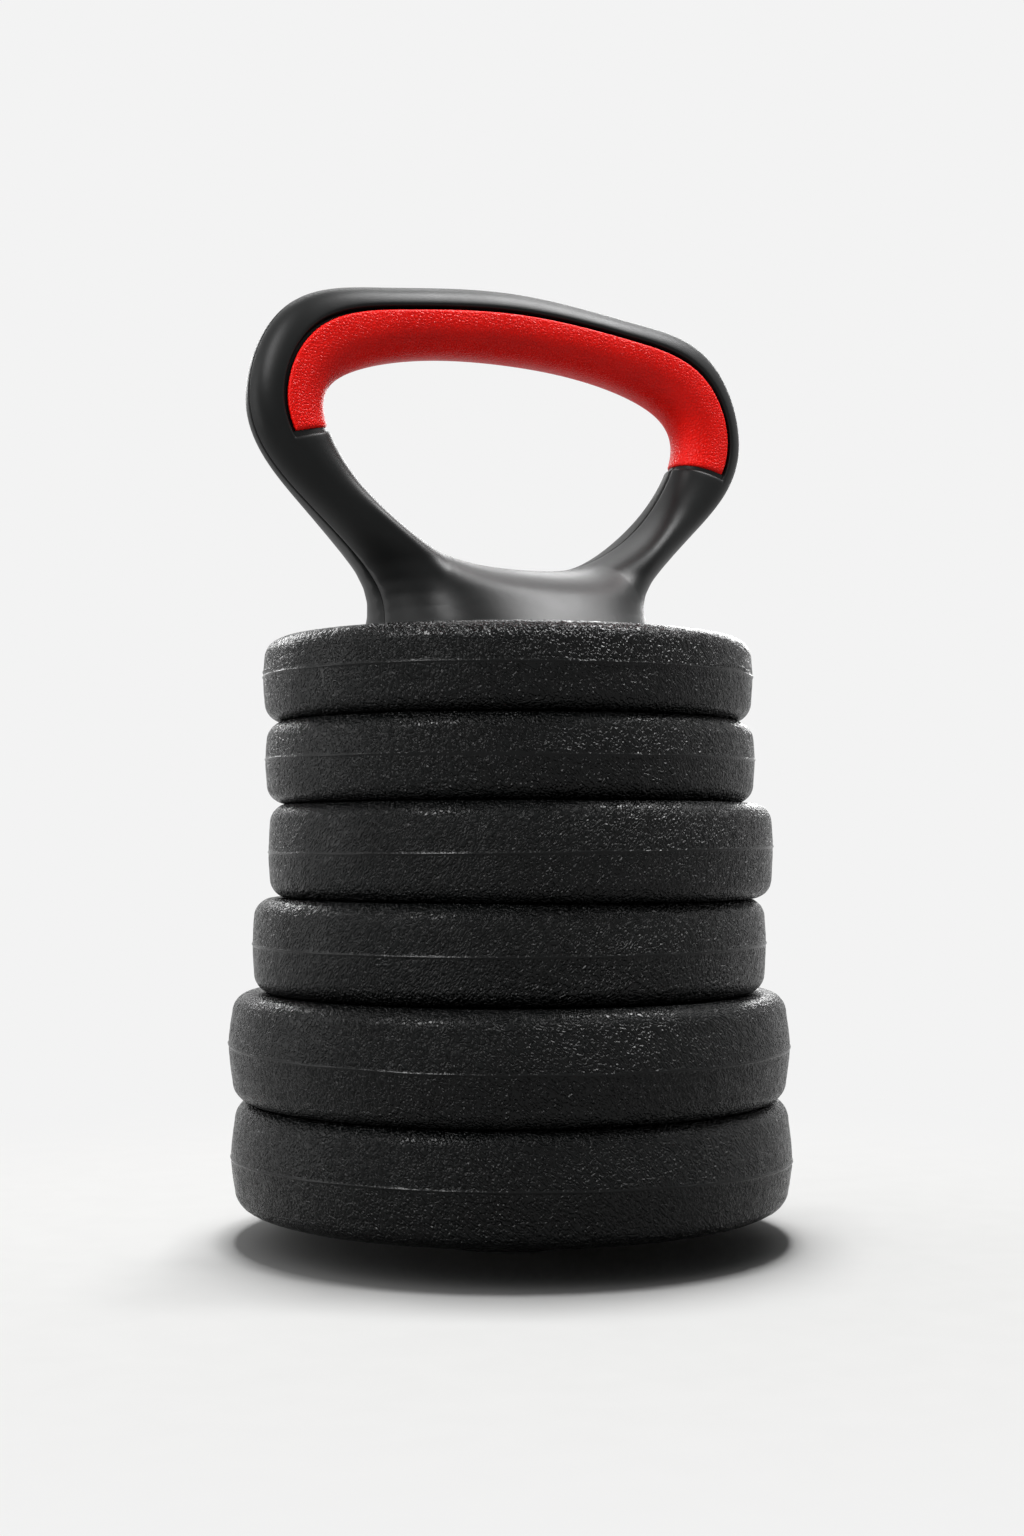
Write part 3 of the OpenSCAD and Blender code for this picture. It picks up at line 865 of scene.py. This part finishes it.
@dataclass
class Plate:
    """A cement-filled plate with a wrinkled plastic skin.

    Attributes:
        number: Its place in the stack, from the top.
        line: Height of the mould line off the rim's middle at its left, front and right.
        lean: 1 or -1 for the way the wrinkles slant.
        fade: Bearings off the front between which the mould line fades, in degrees.
        forks: Bearings where the mould line is doubled, in degrees, with their half widths.
        draft: How much narrower the rim is at its edges than at its middle.
        rim: Rounding of the rim.
        bore: Radius of the bore.
        dish: Depth of the dish in each face.
        hub: Radius of the flat hub.
        land: Width of the land outside the dish.
        bead: How far the mould line stands out.
        bead_half: Half the width of the mould line.
        fork_gap: How far the two lines of a fork lie apart.
        wrinkle: Width of a wrinkle.
        wrinkle_deep: Depth of the wrinkles.
        swelling: Width of the soft swellings under the wrinkles.
        swelling_high: Height of those swellings.
        draw: Share of the height that the wrinkles follow, which draws them out along the axis.
        calm: Half the width of the strip by the mould line where the wrinkles are shallow.
        smooth: Half the width of the strip on the mould line where the finish has no grain.
        wave: How far the mould line wanders up and down.
        row: Height of a row of faces on the rim.
        steps: Faces round the rim.
        front: Bearing of the plate's front from +X in degrees.
        plug: Radius of the fill hole.
        plug_at: Distance of the fill hole from the plate's axis.
        plug_deep: Depth of the fill hole below the dish.
        button: Radius and height of the points of the plug's face, from its groove inwards.
    """

    number: int
    line: tuple[float, float, float]
    lean: int = 1
    fade: tuple[float, float] | None = None
    forks: tuple[tuple[float, float], ...] = ()
    draft: float = 0.5
    rim: float = 6.5
    bore: float = 17.0
    dish: float = 1.6
    hub: float = 27.0
    land: float = 9.5
    bead: float = 0.45
    bead_half: float = 0.34
    fork_gap: float = 2.0
    wrinkle: float = 1.7
    wrinkle_deep: float = 0.13
    swelling: float = 5.0
    swelling_high: float = 0.07
    draw: float = 0.5
    calm: float = 1.1
    smooth: float = 0.55
    wave: float = 0.25
    row: float = 0.55
    steps: int = 800
    front: float = 240.0
    plug: float = 10.0
    plug_at: float = 48.0
    plug_deep: float = 2.8
    button: tuple[Point, ...] = (
        (7.6, -0.1), (7.3, -0.2), (7.1, -0.6), (6.6, -0.8), (6.1, -0.6), (5.9, -0.2), (5.6, -0.1),
        (1.6, -0.1), (1.3, -0.25), (0, -0.3))

    def __post_init__(self) -> None:
        """Takes the plate's place and size from its CAD skin."""
        self.node = f"plate_{self.number}"
        low, high = cad_box(f"{self.node}_shell")
        self.middle = (low + high) / 2
        self.low, self.thick = low.z, high.z - low.z
        self.radius = (high.x - low.x) / 2 - self.bead

    def outline(self) -> list[Point]:
        """Draws the plate's section.

        Returns:
            Radius and height of its points, from the foot of the bore out and back.
        """
        r, t, ring = self.radius, self.thick, self.radius - self.rim - self.land
        soft, drop, slope, flat, arc, crowd = 0.6, 0.15, 1.6, 6, 16, 1.4
        face = [(self.bore + 1, 0), (self.hub - 1, 0), (self.hub + soft, drop),
                (self.hub + slope, self.dish), (ring - slope, self.dish), (ring - soft, drop),
                (ring + soft, 0)]
        face += [(mix(ring + soft, r - self.rim, i / flat), 0) for i in range(1, flat)]
        corner = [(r - self.rim + self.rim * math.sin(i * math.pi / (2 * arc)),
                   self.rim - self.rim * math.cos(i * math.pi / (2 * arc)))
                  for i in range(arc + 1)]
        half = t / 2 - self.rim
        count = round(half / self.row)
        wall = [(r, t / 2 - half * (1 - i / count) ** crowd) for i in range(1, count)]
        below = [(self.bore, 1), *face, *corner, *wall]
        return below + [(r, t / 2)] + [(x, t - z) for x, z in below[::-1]]

    def line_offset(self, bearing: float) -> float:
        """Finds the mould line's height off the rim's middle.

        Args:
            bearing: Bearing from the front in radians.

        Returns:
            The height in millimetres.
        """
        left, front, right = self.line
        mean = (left + right) / 2
        return mean + (front - mean) * math.cos(bearing) + (right - left) / 2 * math.sin(bearing)

    def relief(self, place: Vector, bearing: float, z: float) -> float:
        """Finds the height of the rim's relief over the smooth rim.

        Args:
            place: The point in millimetres, from the plate's own middle.
            bearing: Its bearing from the front in radians.
            z: Its height off the mould line.

        Returns:
            The relief in millimetres.
        """
        sway, sway_run, crest, start = 0.05, 14, 3.5, Vector((7.3, 1.9, self.number))
        turn = self.lean * place.z / self.radius + sway * noise.noise(place / sway_run)
        sheared = Matrix.Rotation(turn, 3, "Z") @ place
        sheared.z *= self.draw
        fold = 1 - min(1.0, abs(noise.noise(sheared / self.wrinkle + start)) * crest)
        swell = noise.noise(place / self.swelling)
        height = self.wrinkle_deep * (0.5 - fold) + self.swelling_high * swell
        degrees = math.degrees(bearing)
        mean, spread, changes = 0.75, 0.35, 9
        strength = mean + spread * noise.noise(Vector((bearing * changes, self.number, 0)))
        if self.fade:
            loss, fade_run = 0.95, 12
            inside = min(degrees - self.fade[0], self.fade[1] - degrees)
            strength *= 1 - loss * ease(inside / fade_run)
        ridge = math.exp(-(z / self.bead_half) ** 2)
        opening, fork_half = 1.6, 0.4
        for at, width in self.forks:
            split = ease(opening * (1 - abs(degrees - at) / width))
            second = math.exp(-((z - self.fork_gap * split) / fork_half) ** 2)
            ridge = max(ridge, min(1.0, 2 * split) * second)
        shallow = 0.7 * math.exp(-(z / self.calm) ** 2)
        return height * (1 - shallow) + self.bead * strength * ridge

    def build_skin(self) -> bmesh.types.BMesh:
        """Spins the section, then raises the wrinkles and the mould line on the rim.

        Returns:
            The skin, with its fill hole.
        """
        bm = turned(self.outline(), self.steps, closed=True)
        edge, half = self.radius - self.rim, self.thick / 2
        worn, run, held, waves = self.land * 0.8, 3, self.rim * 0.6, 5
        front = math.radians(self.front)
        line = bm.verts.layers.float.new(MOULD_LINE)
        for vert in bm.verts:
            place = vert.co / MM
            reach = math.hypot(place.x, place.y)
            off = place.z - half
            bearing = (math.atan2(place.y, place.x) - front + math.pi) % math.tau - math.pi
            if reach > edge - worn:
                wander = noise.noise(Vector((bearing * waves, 3, self.number)))
                bend = self.line_offset(bearing) + self.wave * wander
                shift = bend * max(0.0, 1 - abs(off) / (half - held))
                hold = max(-half + self.rim, min(half - self.rim, off))
                out = Vector((place.x, place.y, 0)).normalized()
                normal = Vector((0, 0, math.copysign(1, off)))
                if reach > edge:
                    normal = (place - out * edge - Vector((0, 0, hold + half))).normalized()
                place.z += shift
                vert[line] = math.exp(-(off / self.smooth) ** 2)
                place -= out * self.draft * min(1.0, abs(off) / (half - self.rim)) ** 1.5
                share = ease((reach - edge + worn) / run)
                place += normal * share * self.relief(place - Vector((0, 0, half)), bearing, off)
            vert.co = (place + Vector((self.middle.x, self.middle.y, self.low))) * MM
        lip, clear = 0.5, 2
        return cut(bm, self.at_plug([
            (0, -self.plug_deep), (self.plug, -self.plug_deep), (self.plug, -lip),
            (self.plug + 2 * lip, lip), (self.plug + 2 * lip, clear), (0, clear)]))

    def at_plug(self, outline: list[Point]) -> bmesh.types.BMesh:
        """Turns an outline round the fill hole's axis.

        Args:
            outline: Radius of its points, and their height from the dish's floor.

        Returns:
            The turned shape, in its place on the plate.
        """
        floor = self.low + self.thick - self.dish
        return moved(turned(outline, 64), Matrix.Translation(
            (self.middle.x + self.plug_at, self.middle.y, floor)))

    def build_plug(self) -> bmesh.types.BMesh:
        """Makes a pressed-in disc with a soft edge, a groove and a raised button.

        Returns:
            The plug, in its place on the plate.
        """
        play, chamfer = 0.15, 0.3
        r, low = self.plug - play, -self.plug_deep + 0.1
        edge = [(r, -0.7), (r - 0.15, -0.3), (r - 0.6, -0.1)]
        return self.at_plug([(0, low), (r - chamfer, low), (r, low + chamfer), *edge, *self.button])

    def build(self) -> None:
        """Makes the skin and dresses the core and the plug."""
        finish = SKIN_RIGHT if self.lean > 0 else SKIN_LEFT
        Piece(f"{self.node}_skin", self.node, "plate_skin", finish, (f"{self.node}_shell",), 60
              ).finish_mesh(self.build_skin())
        dress(f"{self.node}_core", CEMENT)
        Piece(f"{self.node}_plug_disc", self.node, "plug_plastic", PLUG_PLASTIC,
              (f"{self.node}_plug",)).finish_mesh(self.build_plug())


PLATES = (
    Plate(1, (1.1, 0.9, 1.1), 1, forks=((-80, 16), (62, 14))),
    Plate(2, (1.2, 0.1, 0.9), 1, fade=(-37, 11)),
    Plate(3, (-0.4, -0.4, 1.5), -1),
    Plate(4, (0.6, -0.2, 0.9), -1),
    Plate(5, (1.3, -1.0, 0.0), 1, draft=1.3),
    Plate(6, (-1.2, 0.2, -2.6), 1, draft=1.3),
)


# ---- Spindle and base ----


@dataclass
class Base:
    """The spindle, and the base nut in its knob with its washer and foot.

    Attributes:
        thread: Outer radius of the thread.
        thread_deep: Depth of the thread.
        pitch: Pitch of the thread.
        groove: Length of the plain groove above the thread.
        collar: Length of the plain neck from the stack's top down.
        floor: Thickness of the handle's floor.
        shank: Radius of the spindle's upper end.
        nut: Half the nut's width across flats.
        boss: Radius of the nut's boss.
        knob: Radius of the knob.
        knob_floor: Thickness of the knob's floor under the nut.
        scallops: Finger scallops round the knob.
        scallop: Radius of a scallop.
        bite: Depth of a scallop.
        pad: Radius of the foot pad.
        seat: Depth of the pad's seat in the knob.
        round_off: Bevel of the moulded edges.
        soften: How softly a scallop runs into the knob's rim.
        wave: Share of a thread's turn and rise of the points of its section.
    """

    thread: float = 12.0
    thread_deep: float = 1.6
    pitch: float = 6.0
    groove: float = 4.4
    collar: float = 4.0
    floor: float = 6.0
    shank: float = 8.0
    nut: float = 18.0
    boss: float = 14.6
    knob: float = 34.0
    knob_floor: float = 1.6
    scallops: int = 12
    scallop: float = 5.5
    bite: float = 2.5
    pad: float = 30.9
    seat: float = 1.0
    round_off: float = 0.8
    soften: float = 0.9
    wave: tuple[Point, ...] = (
        (0.0, 0.0), (0.2, 0.0), (0.24, 0.08), (0.4, 0.92), (0.45, 1.0), (0.72, 1.0), (0.77, 0.92),
        (0.93, 0.08))

    def build_spindle(self) -> bmesh.types.BMesh:
        """Makes a rod with a rolled trapezoidal thread, a groove, a plain neck and a shank.

        Returns:
            The rod, closed.
        """
        low, high = (corner.z for corner in cad_box("spindle"))
        top = cad_box("handle_front_shell")[0].z
        root, steps, slope, chamfer, fade = self.thread - self.thread_deep, 72, 1.2, 0.8, 1.6
        start, end = low, top - self.collar - self.groove
        last_turn = math.ceil((end - start) / self.pitch)
        turns = [(turn + share, rise) for turn in range(-1, last_turn + 1)
                 for share, rise in self.wave]
        above = [(root, end), (root, top - self.collar - slope), (self.thread, top - self.collar),
                 (self.thread, top + self.floor), (self.shank, top + self.floor),
                 (self.shank, high - chamfer), (self.shank - chamfer, high), (0, high)]
        last = len(turns) + 1

        def place(column: int, row: int) -> Vector:
            """Finds the rod's point at a column along it and a row round it.

            Args:
                column: Column along the rod.
                row: Step round the rod.

            Returns:
                The point in millimetres.
            """
            angle = math.tau * row / steps
            if column == 0:
                reach, height = 0.0, low
            elif column == 1:
                reach, height = root, low
            elif column <= last:
                share, rise = turns[column - 2]
                height = min(end, max(start, start + self.pitch * (share + row / steps)))
                lead = min(height - start, (end - height) * fade)
                reach = root + min(self.thread_deep * rise, lead)
            else:
                reach, height = above[column - last - 1]
            return Vector((reach * math.cos(angle), reach * math.sin(angle), height))

        return surface(last + len(above), steps, place)

    def shaped(self, outline: Iterable[tuple[float, float, float]], closed: bool,
               scalloped: bool = True) -> bmesh.types.BMesh:
        """Turns an outline whose points follow a circle, a hexagon or the knob's scallops.

        Args:
            outline: Radius and height of each point, and 1 where it follows the outer form.
            closed: Whether the last point joins the first.
            scalloped: Whether the outer form is the knob's scallops; otherwise it is a hexagon.

        Returns:
            The shape.
        """
        points, steps = list(outline), 720
        points += points[:1] * closed

        def form(angle: float) -> float:
            """Finds the outer form's radius at an angle.

            Args:
                angle: The angle round the axis.

            Returns:
                The radius as a share of the circle's.
            """
            if not scalloped:
                return 1 / math.cos(angle % (math.pi / 3) - math.pi / 6)
            half = math.pi / self.scallops
            off = (angle + half) % (2 * half) - half
            far = self.knob + self.scallop - self.bite
            inside = self.scallop ** 2 - (far * math.sin(off)) ** 2
            bitten = far * math.cos(off) - math.sqrt(inside) if inside > 0 else self.knob
            blend = math.exp(-self.knob / self.soften) + math.exp(-bitten / self.soften)
            return (-self.soften * math.log(blend) + self.soften * math.log(2) * (
                1 - min(1.0, abs(bitten - self.knob) / 2))) / self.knob

        def place(column: int, row: int) -> Vector:
            """Finds the outline's point at a step round the axis.

            Args:
                column: The point's number along the outline.
                row: The step round the axis.

            Returns:
                The point in millimetres.
            """
            reach, height, follows = points[column]
            angle = math.tau * (row % steps) / steps
            reach *= mix(1.0, form(angle), follows)
            return Vector((reach * math.cos(angle), reach * math.sin(angle), height))

        return surface(len(points) - 1, steps, place)

    def build_nut(self) -> bmesh.types.BMesh:
        """Makes a hexagon with a bevelled rim, and a round boss above it.

        Returns:
            The nut, with its bore.
        """
        low, high = (corner.z for corner in cad_box("steel_nut"))
        play, bevelled, rim, fillet, chamfer = 0.05, 0.6, 0.7, 0.5, 0.6
        bore, shoulder = self.thread + play, cad_box("base_washer")[0].z
        return self.shaped([
            (bore, low, 0), (self.nut, low, bevelled), (self.nut, low + rim, 1),
            (self.nut, shoulder - rim, 1), (self.nut, shoulder, bevelled),
            (self.boss + fillet, shoulder, 0), (self.boss, shoulder + fillet, 0),
            (self.boss, high - chamfer, 0), (self.boss - chamfer, high, 0),
            (bore + chamfer, high, 0), (bore, high - chamfer, 0)], True, scalloped=False)

    def build_knob(self) -> bmesh.types.BMesh:
        """Makes a scalloped disc with a pocket for the nut above and a seat for the foot below.

        Returns:
            The knob.
        """
        low, high = (corner.z for corner in cad_box("nut_knob"))
        edge, seat = self.round_off, low + self.seat
        outside = [(self.knob - edge * (1 - math.sin(t)), low + edge * (1 - math.cos(t)), 1)
                   for t in QUARTER_TURN]
        outside += [(r, low + high - z, 1) for r, z, _ in outside[::-1]]
        rim, pocket = self.pad + 0.1, seat + self.knob_floor
        body = self.shaped([(0, seat, 0), (rim, seat, 0), (rim, low, 0), *outside,
                            (0, high, 0)], False)
        play, flare, lip, clear = 0.05, 0.8, 0.5, 0.3
        hexagon = self.shaped([
            (0, pocket, 0), (self.nut + play, pocket, 1), (self.nut + play, high - lip, 1),
            (self.nut + flare, high + clear, 1), (0, high + clear, 0)], False, scalloped=False)
        return cut(body, hexagon)

    def build_washer(self) -> bmesh.types.BMesh:
        """Makes a flat ring with softened edges and a fine groove in its upper face.

        Returns:
            The ring.
        """
        low, high = cad_box("base_washer")
        inner, outer = self.boss + 0.6, (high.x - low.x) / 2
        z, t, hole, rim, steps = low.z, high.z, 0.3, 0.4, 180
        groove = [(outer - 2.2, t), (outer - 2.5, t - 0.25), (outer - 3.3, t - 0.25),
                  (outer - 3.6, t)]
        return turned([
            (inner, z + hole), (inner + hole, z), (outer - rim, z), (outer, z + rim),
            (outer, t - rim), (outer - rim, t), *groove, (inner + hole, t), (inner, t - hole)],
            steps, closed=True)

    def build_pad(self) -> bmesh.types.BMesh:
        """Makes a rubber disc with rounded edges and round grooves in its sole.

        Returns:
            The pad.
        """
        high = cad_box("foot_pad")[1].z
        grooves, apart, edge, soft, steps = 6, 4.2, 0.7, 0.2, 180
        groove = ((-0.8, 0), (-0.55, 0.45), (0, 0.6), (0.55, 0.45), (0.8, 0))
        sole = [(0, 0)] + [(apart * k + off, z) for k in range(1, grooves + 1) for off, z in groove]
        corner = [(self.pad - edge * (1 - math.sin(t)), edge * (1 - math.cos(t)))
                  for t in (0, math.pi / 6, math.pi / 3, math.pi / 2)]
        return turned([*sole, *corner, (self.pad, high - soft), (self.pad - soft, high),
                       (0, high)], steps)

    def build(self) -> None:
        """Makes the spindle, the washer, the nut, the knob and the foot."""
        Piece("threaded_spindle", "handle", "spindle_steel", SPINDLE_STEEL, ("spindle",), 50
              ).finish_mesh(self.build_spindle())
        Piece("washer_ring", "washer", "washer_rubber", WASHER_RUBBER, ("base_washer",)
              ).finish_mesh(self.build_washer())
        for name, slot, finish, node, bm in (
            ("hexagon_nut", "zinc_steel", ZINC_STEEL, "steel_nut", self.build_nut()),
            ("scalloped_knob", "knob_plastic", KNOB_PLASTIC, "nut_knob", self.build_knob()),
            ("grooved_foot", "foot_rubber", FOOT_RUBBER, "foot_pad", self.build_pad()),
        ):
            Piece(name, "base_nut", slot, finish, (node,)).finish_mesh(bm)


# ---- Studio ----


class Lit(Enum):
    """What a light falls on."""

    KETTLEBELL = "the kettlebell alone"
    FLOOR = "the floor alone"


@dataclass(frozen=True)
class Softbox:
    """A soft area light.

    Attributes:
        name: Its name.
        at: Its place in metres.
        aim: The point that it faces, in metres.
        size: Its width and height in metres.
        power: Its power in watts.
        lit: What it falls on. Flags keep the rest out of its light.
    """

    name: str
    at: tuple[float, float, float]
    aim: tuple[float, float, float]
    size: tuple[float, float]
    power: float
    lit: Lit = Lit.KETTLEBELL

    def build(self, floor: bpy.types.Object) -> None:
        """Hangs the light.

        Args:
            floor: The studio's floor.
        """
        lamp = bpy.data.lights.new(self.name, "AREA")
        lamp.shape = "RECTANGLE"
        lamp.size, lamp.size_y = self.size
        lamp.energy = self.power
        obj = bpy.data.objects.new(self.name, lamp)
        obj.location = self.at
        way = Vector(self.aim) - Vector(self.at)
        obj.rotation_euler = way.to_track_quat("-Z", "Y").to_euler()
        bpy.context.scene.collection.objects.link(obj)
        flags = bpy.data.collections.new(f"{self.name}_flags")
        flags.objects.link(floor)
        state = "INCLUDE" if self.lit is Lit.FLOOR else "EXCLUDE"
        flags.collection_objects[0].light_linking.link_state = state
        obj.light_linking.receiver_collection = flags


@dataclass
class Studio:
    """A pale floor that runs into a pale backdrop, soft lights and the camera.

    Attributes:
        pale: Colour of the backdrop.
        camera_at: Place of the camera in metres.
        camera_turn: Turn of the camera about the vertical in degrees.
        lens: Focal length in millimetres.
        shift: Shift of the lens to the side and upwards.
        front_level: Strength of the surround's light from the front.
        back_level: Strength of the surround's light from where it is brightest.
        brightest: Where the surround is brightest.
        near: Reach of the floor's own paint, in metres.
        far: Reach past which the floor shows as backdrop, in metres.
    """

    pale: str = "#f3f3f3"
    camera_at: tuple[float, float, float] = (-0.371, -0.6426, 0.135)
    camera_turn: float = -30.0
    lens: float = 50.93
    shift: Point = (0.0037, 0.0469)
    front_level: float = 0.03
    back_level: float = 0.38
    brightest: tuple[float, float, float] = (-0.3, 0.75, 0.5)
    near: float = 0.16
    far: float = 0.42

    def build_world(self) -> None:
        """Sets up the surround: pale where it is seen or mirrored, and grey where it lights."""
        world = bpy.data.worlds.new("studio_surround")
        bpy.context.scene.world = world
        world.use_nodes = True
        tree = world.node_tree
        tree.nodes.clear()
        path = add(tree, "ShaderNodeLightPath")
        looked = add(tree, "ShaderNodeMath", links={0: path.outputs["Is Camera Ray"],
                     1: path.outputs["Is Transmission Ray"]}, operation="MAXIMUM")
        seen = add(tree, "ShaderNodeMath", links={0: looked.outputs[0],
                   1: path.outputs["Is Glossy Ray"]}, operation="MAXIMUM")
        way = add(tree, "ShaderNodeTexCoord").outputs["Generated"]
        facing = add(tree, "ShaderNodeVectorMath", {1: self.brightest}, {0: way},
                     operation="DOT_PRODUCT")
        level = add(tree, "ShaderNodeMapRange", {
            "From Min": -0.1, "From Max": 0.75, "To Min": self.front_level,
            "To Max": self.back_level}, {"Value": facing.outputs["Value"]},
            interpolation_type="SMOOTHSTEP")
        ambient = add(tree, "ShaderNodeBackground", {"Color": linear("#ffffff")},
                      {"Strength": level.outputs[0]})
        backdrop = add(tree, "ShaderNodeBackground", {"Color": linear(self.pale), "Strength": 1.0})
        both = add(tree, "ShaderNodeMixShader", links={0: seen.outputs[0], 1: ambient.outputs[0],
                   2: backdrop.outputs[0]})
        add(tree, "ShaderNodeOutputWorld", links={"Surface": both.outputs[0]})

    def build_floor(self) -> bpy.types.Object:
        """Lays a round floor whose far parts melt into the surround.

        Returns:
            The floor.
        """
        bm = bmesh.new()
        bmesh.ops.create_circle(bm, cap_ends=True, segments=96, radius=4.0)
        mesh = bpy.data.meshes.new("studio_floor")
        bm.to_mesh(mesh)
        bm.free()
        material = bpy.data.materials.new("white_painted_floor")
        material.use_nodes = True
        tree = material.node_tree
        tree.nodes.clear()
        place = add(tree, "ShaderNodeTexCoord").outputs["Object"]
        reach = add(tree, "ShaderNodeVectorMath", links={0: place}, operation="LENGTH")
        far = add(tree, "ShaderNodeMapRange", {"From Min": self.near, "From Max": self.far},
                  {"Value": reach.outputs["Value"]}, interpolation_type="SMOOTHSTEP")
        cloud = add(tree, "ShaderNodeTexNoise", {"Scale": 60.0}, {"Vector": place})
        paint = add(tree, "ShaderNodeMix", {6: linear("#eeeeed"), 7: linear("#f2f2f1")},
                    {0: cloud.outputs[0]}, data_type="RGBA")
        lit = add(tree, "ShaderNodeBsdfDiffuse", links={"Color": paint.outputs[2]})
        path = add(tree, "ShaderNodeLightPath")
        mirrored = add(tree, "ShaderNodeMath", links={0: path.outputs["Is Glossy Ray"],
                       1: path.outputs["Is Transmission Ray"]}, operation="MAXIMUM")
        looked = add(tree, "ShaderNodeMath", links={0: path.outputs["Is Camera Ray"],
                     1: mirrored.outputs[0]}, operation="MAXIMUM")
        seen = add(tree, "ShaderNodeMath", links={0: looked.outputs[0], 1: far.outputs[0]},
                   operation="MULTIPLY")
        plain = add(tree, "ShaderNodeEmission", {"Color": linear(self.pale)})
        both = add(tree, "ShaderNodeMixShader", links={0: seen.outputs[0], 1: lit.outputs[0],
                   2: plain.outputs[0]})
        add(tree, "ShaderNodeOutputMaterial", links={"Surface": both.outputs[0]})
        mesh.materials.append(material)
        floor = bpy.data.objects.new("studio_floor", mesh)
        bpy.context.scene.collection.objects.link(floor)
        return floor

    def build_camera(self) -> None:
        """Sets up a level camera at the height of the stack's middle."""
        data = bpy.data.cameras.new("studio_camera")
        data.lens = self.lens
        data.shift_x, data.shift_y = self.shift
        data.clip_start = 0.01
        camera = bpy.data.objects.new("studio_camera", data)
        camera.location = self.camera_at
        camera.rotation_euler = (math.pi / 2, 0, math.radians(self.camera_turn))
        bpy.context.scene.collection.objects.link(camera)
        bpy.context.scene.camera = camera

    def build(self) -> None:
        """Sets up the surround, the floor, the lights and the camera."""
        self.build_world()
        floor = self.build_floor()
        middle = (0.0, 0.0, 0.18)
        for box in (
            Softbox("key_softbox", (0.5, -0.12, 1.2), (0, 0, 0.2), (0.4, 0.5), 23.0),
            Softbox("right_back_softbox", (0.75, 0.75, 0.6), middle, (0.4, 0.5), 5.5),
            Softbox("back_softbox", (-0.05, 1.0, 0.6), middle, (0.35, 0.25), 2.6),
            Softbox("left_softbox", (-0.85, -0.25, 0.95), middle, (0.3, 0.4), 14.0),
            Softbox("left_back_strip", (-0.85, 0.45, 0.4), middle, (0.3, 0.8), 2.2),
            Softbox("overhead_strip", (0.3, 0.5, 1.0), middle, (0.8, 0.16), 2.6),
            Softbox("overhead_floor_light", (0.11, 0.2, 2.4), (0, 0, 0), (0.6, 0.6), 49.0,
                    Lit.FLOOR),
        ):
            box.build(floor)
        self.build_camera()
        bpy.context.scene.view_settings.view_transform = "Standard"


def main() -> None:
    """Builds the kettlebell's pieces and the studio."""
    logging.basicConfig(level=logging.INFO, format="%(name)s %(message)s", stream=sys.stdout)
    Studio().build()
    Handle().build()
    for plate in PLATES:
        plate.build()
    Base().build()


if __name__ == "__main__":
    main()
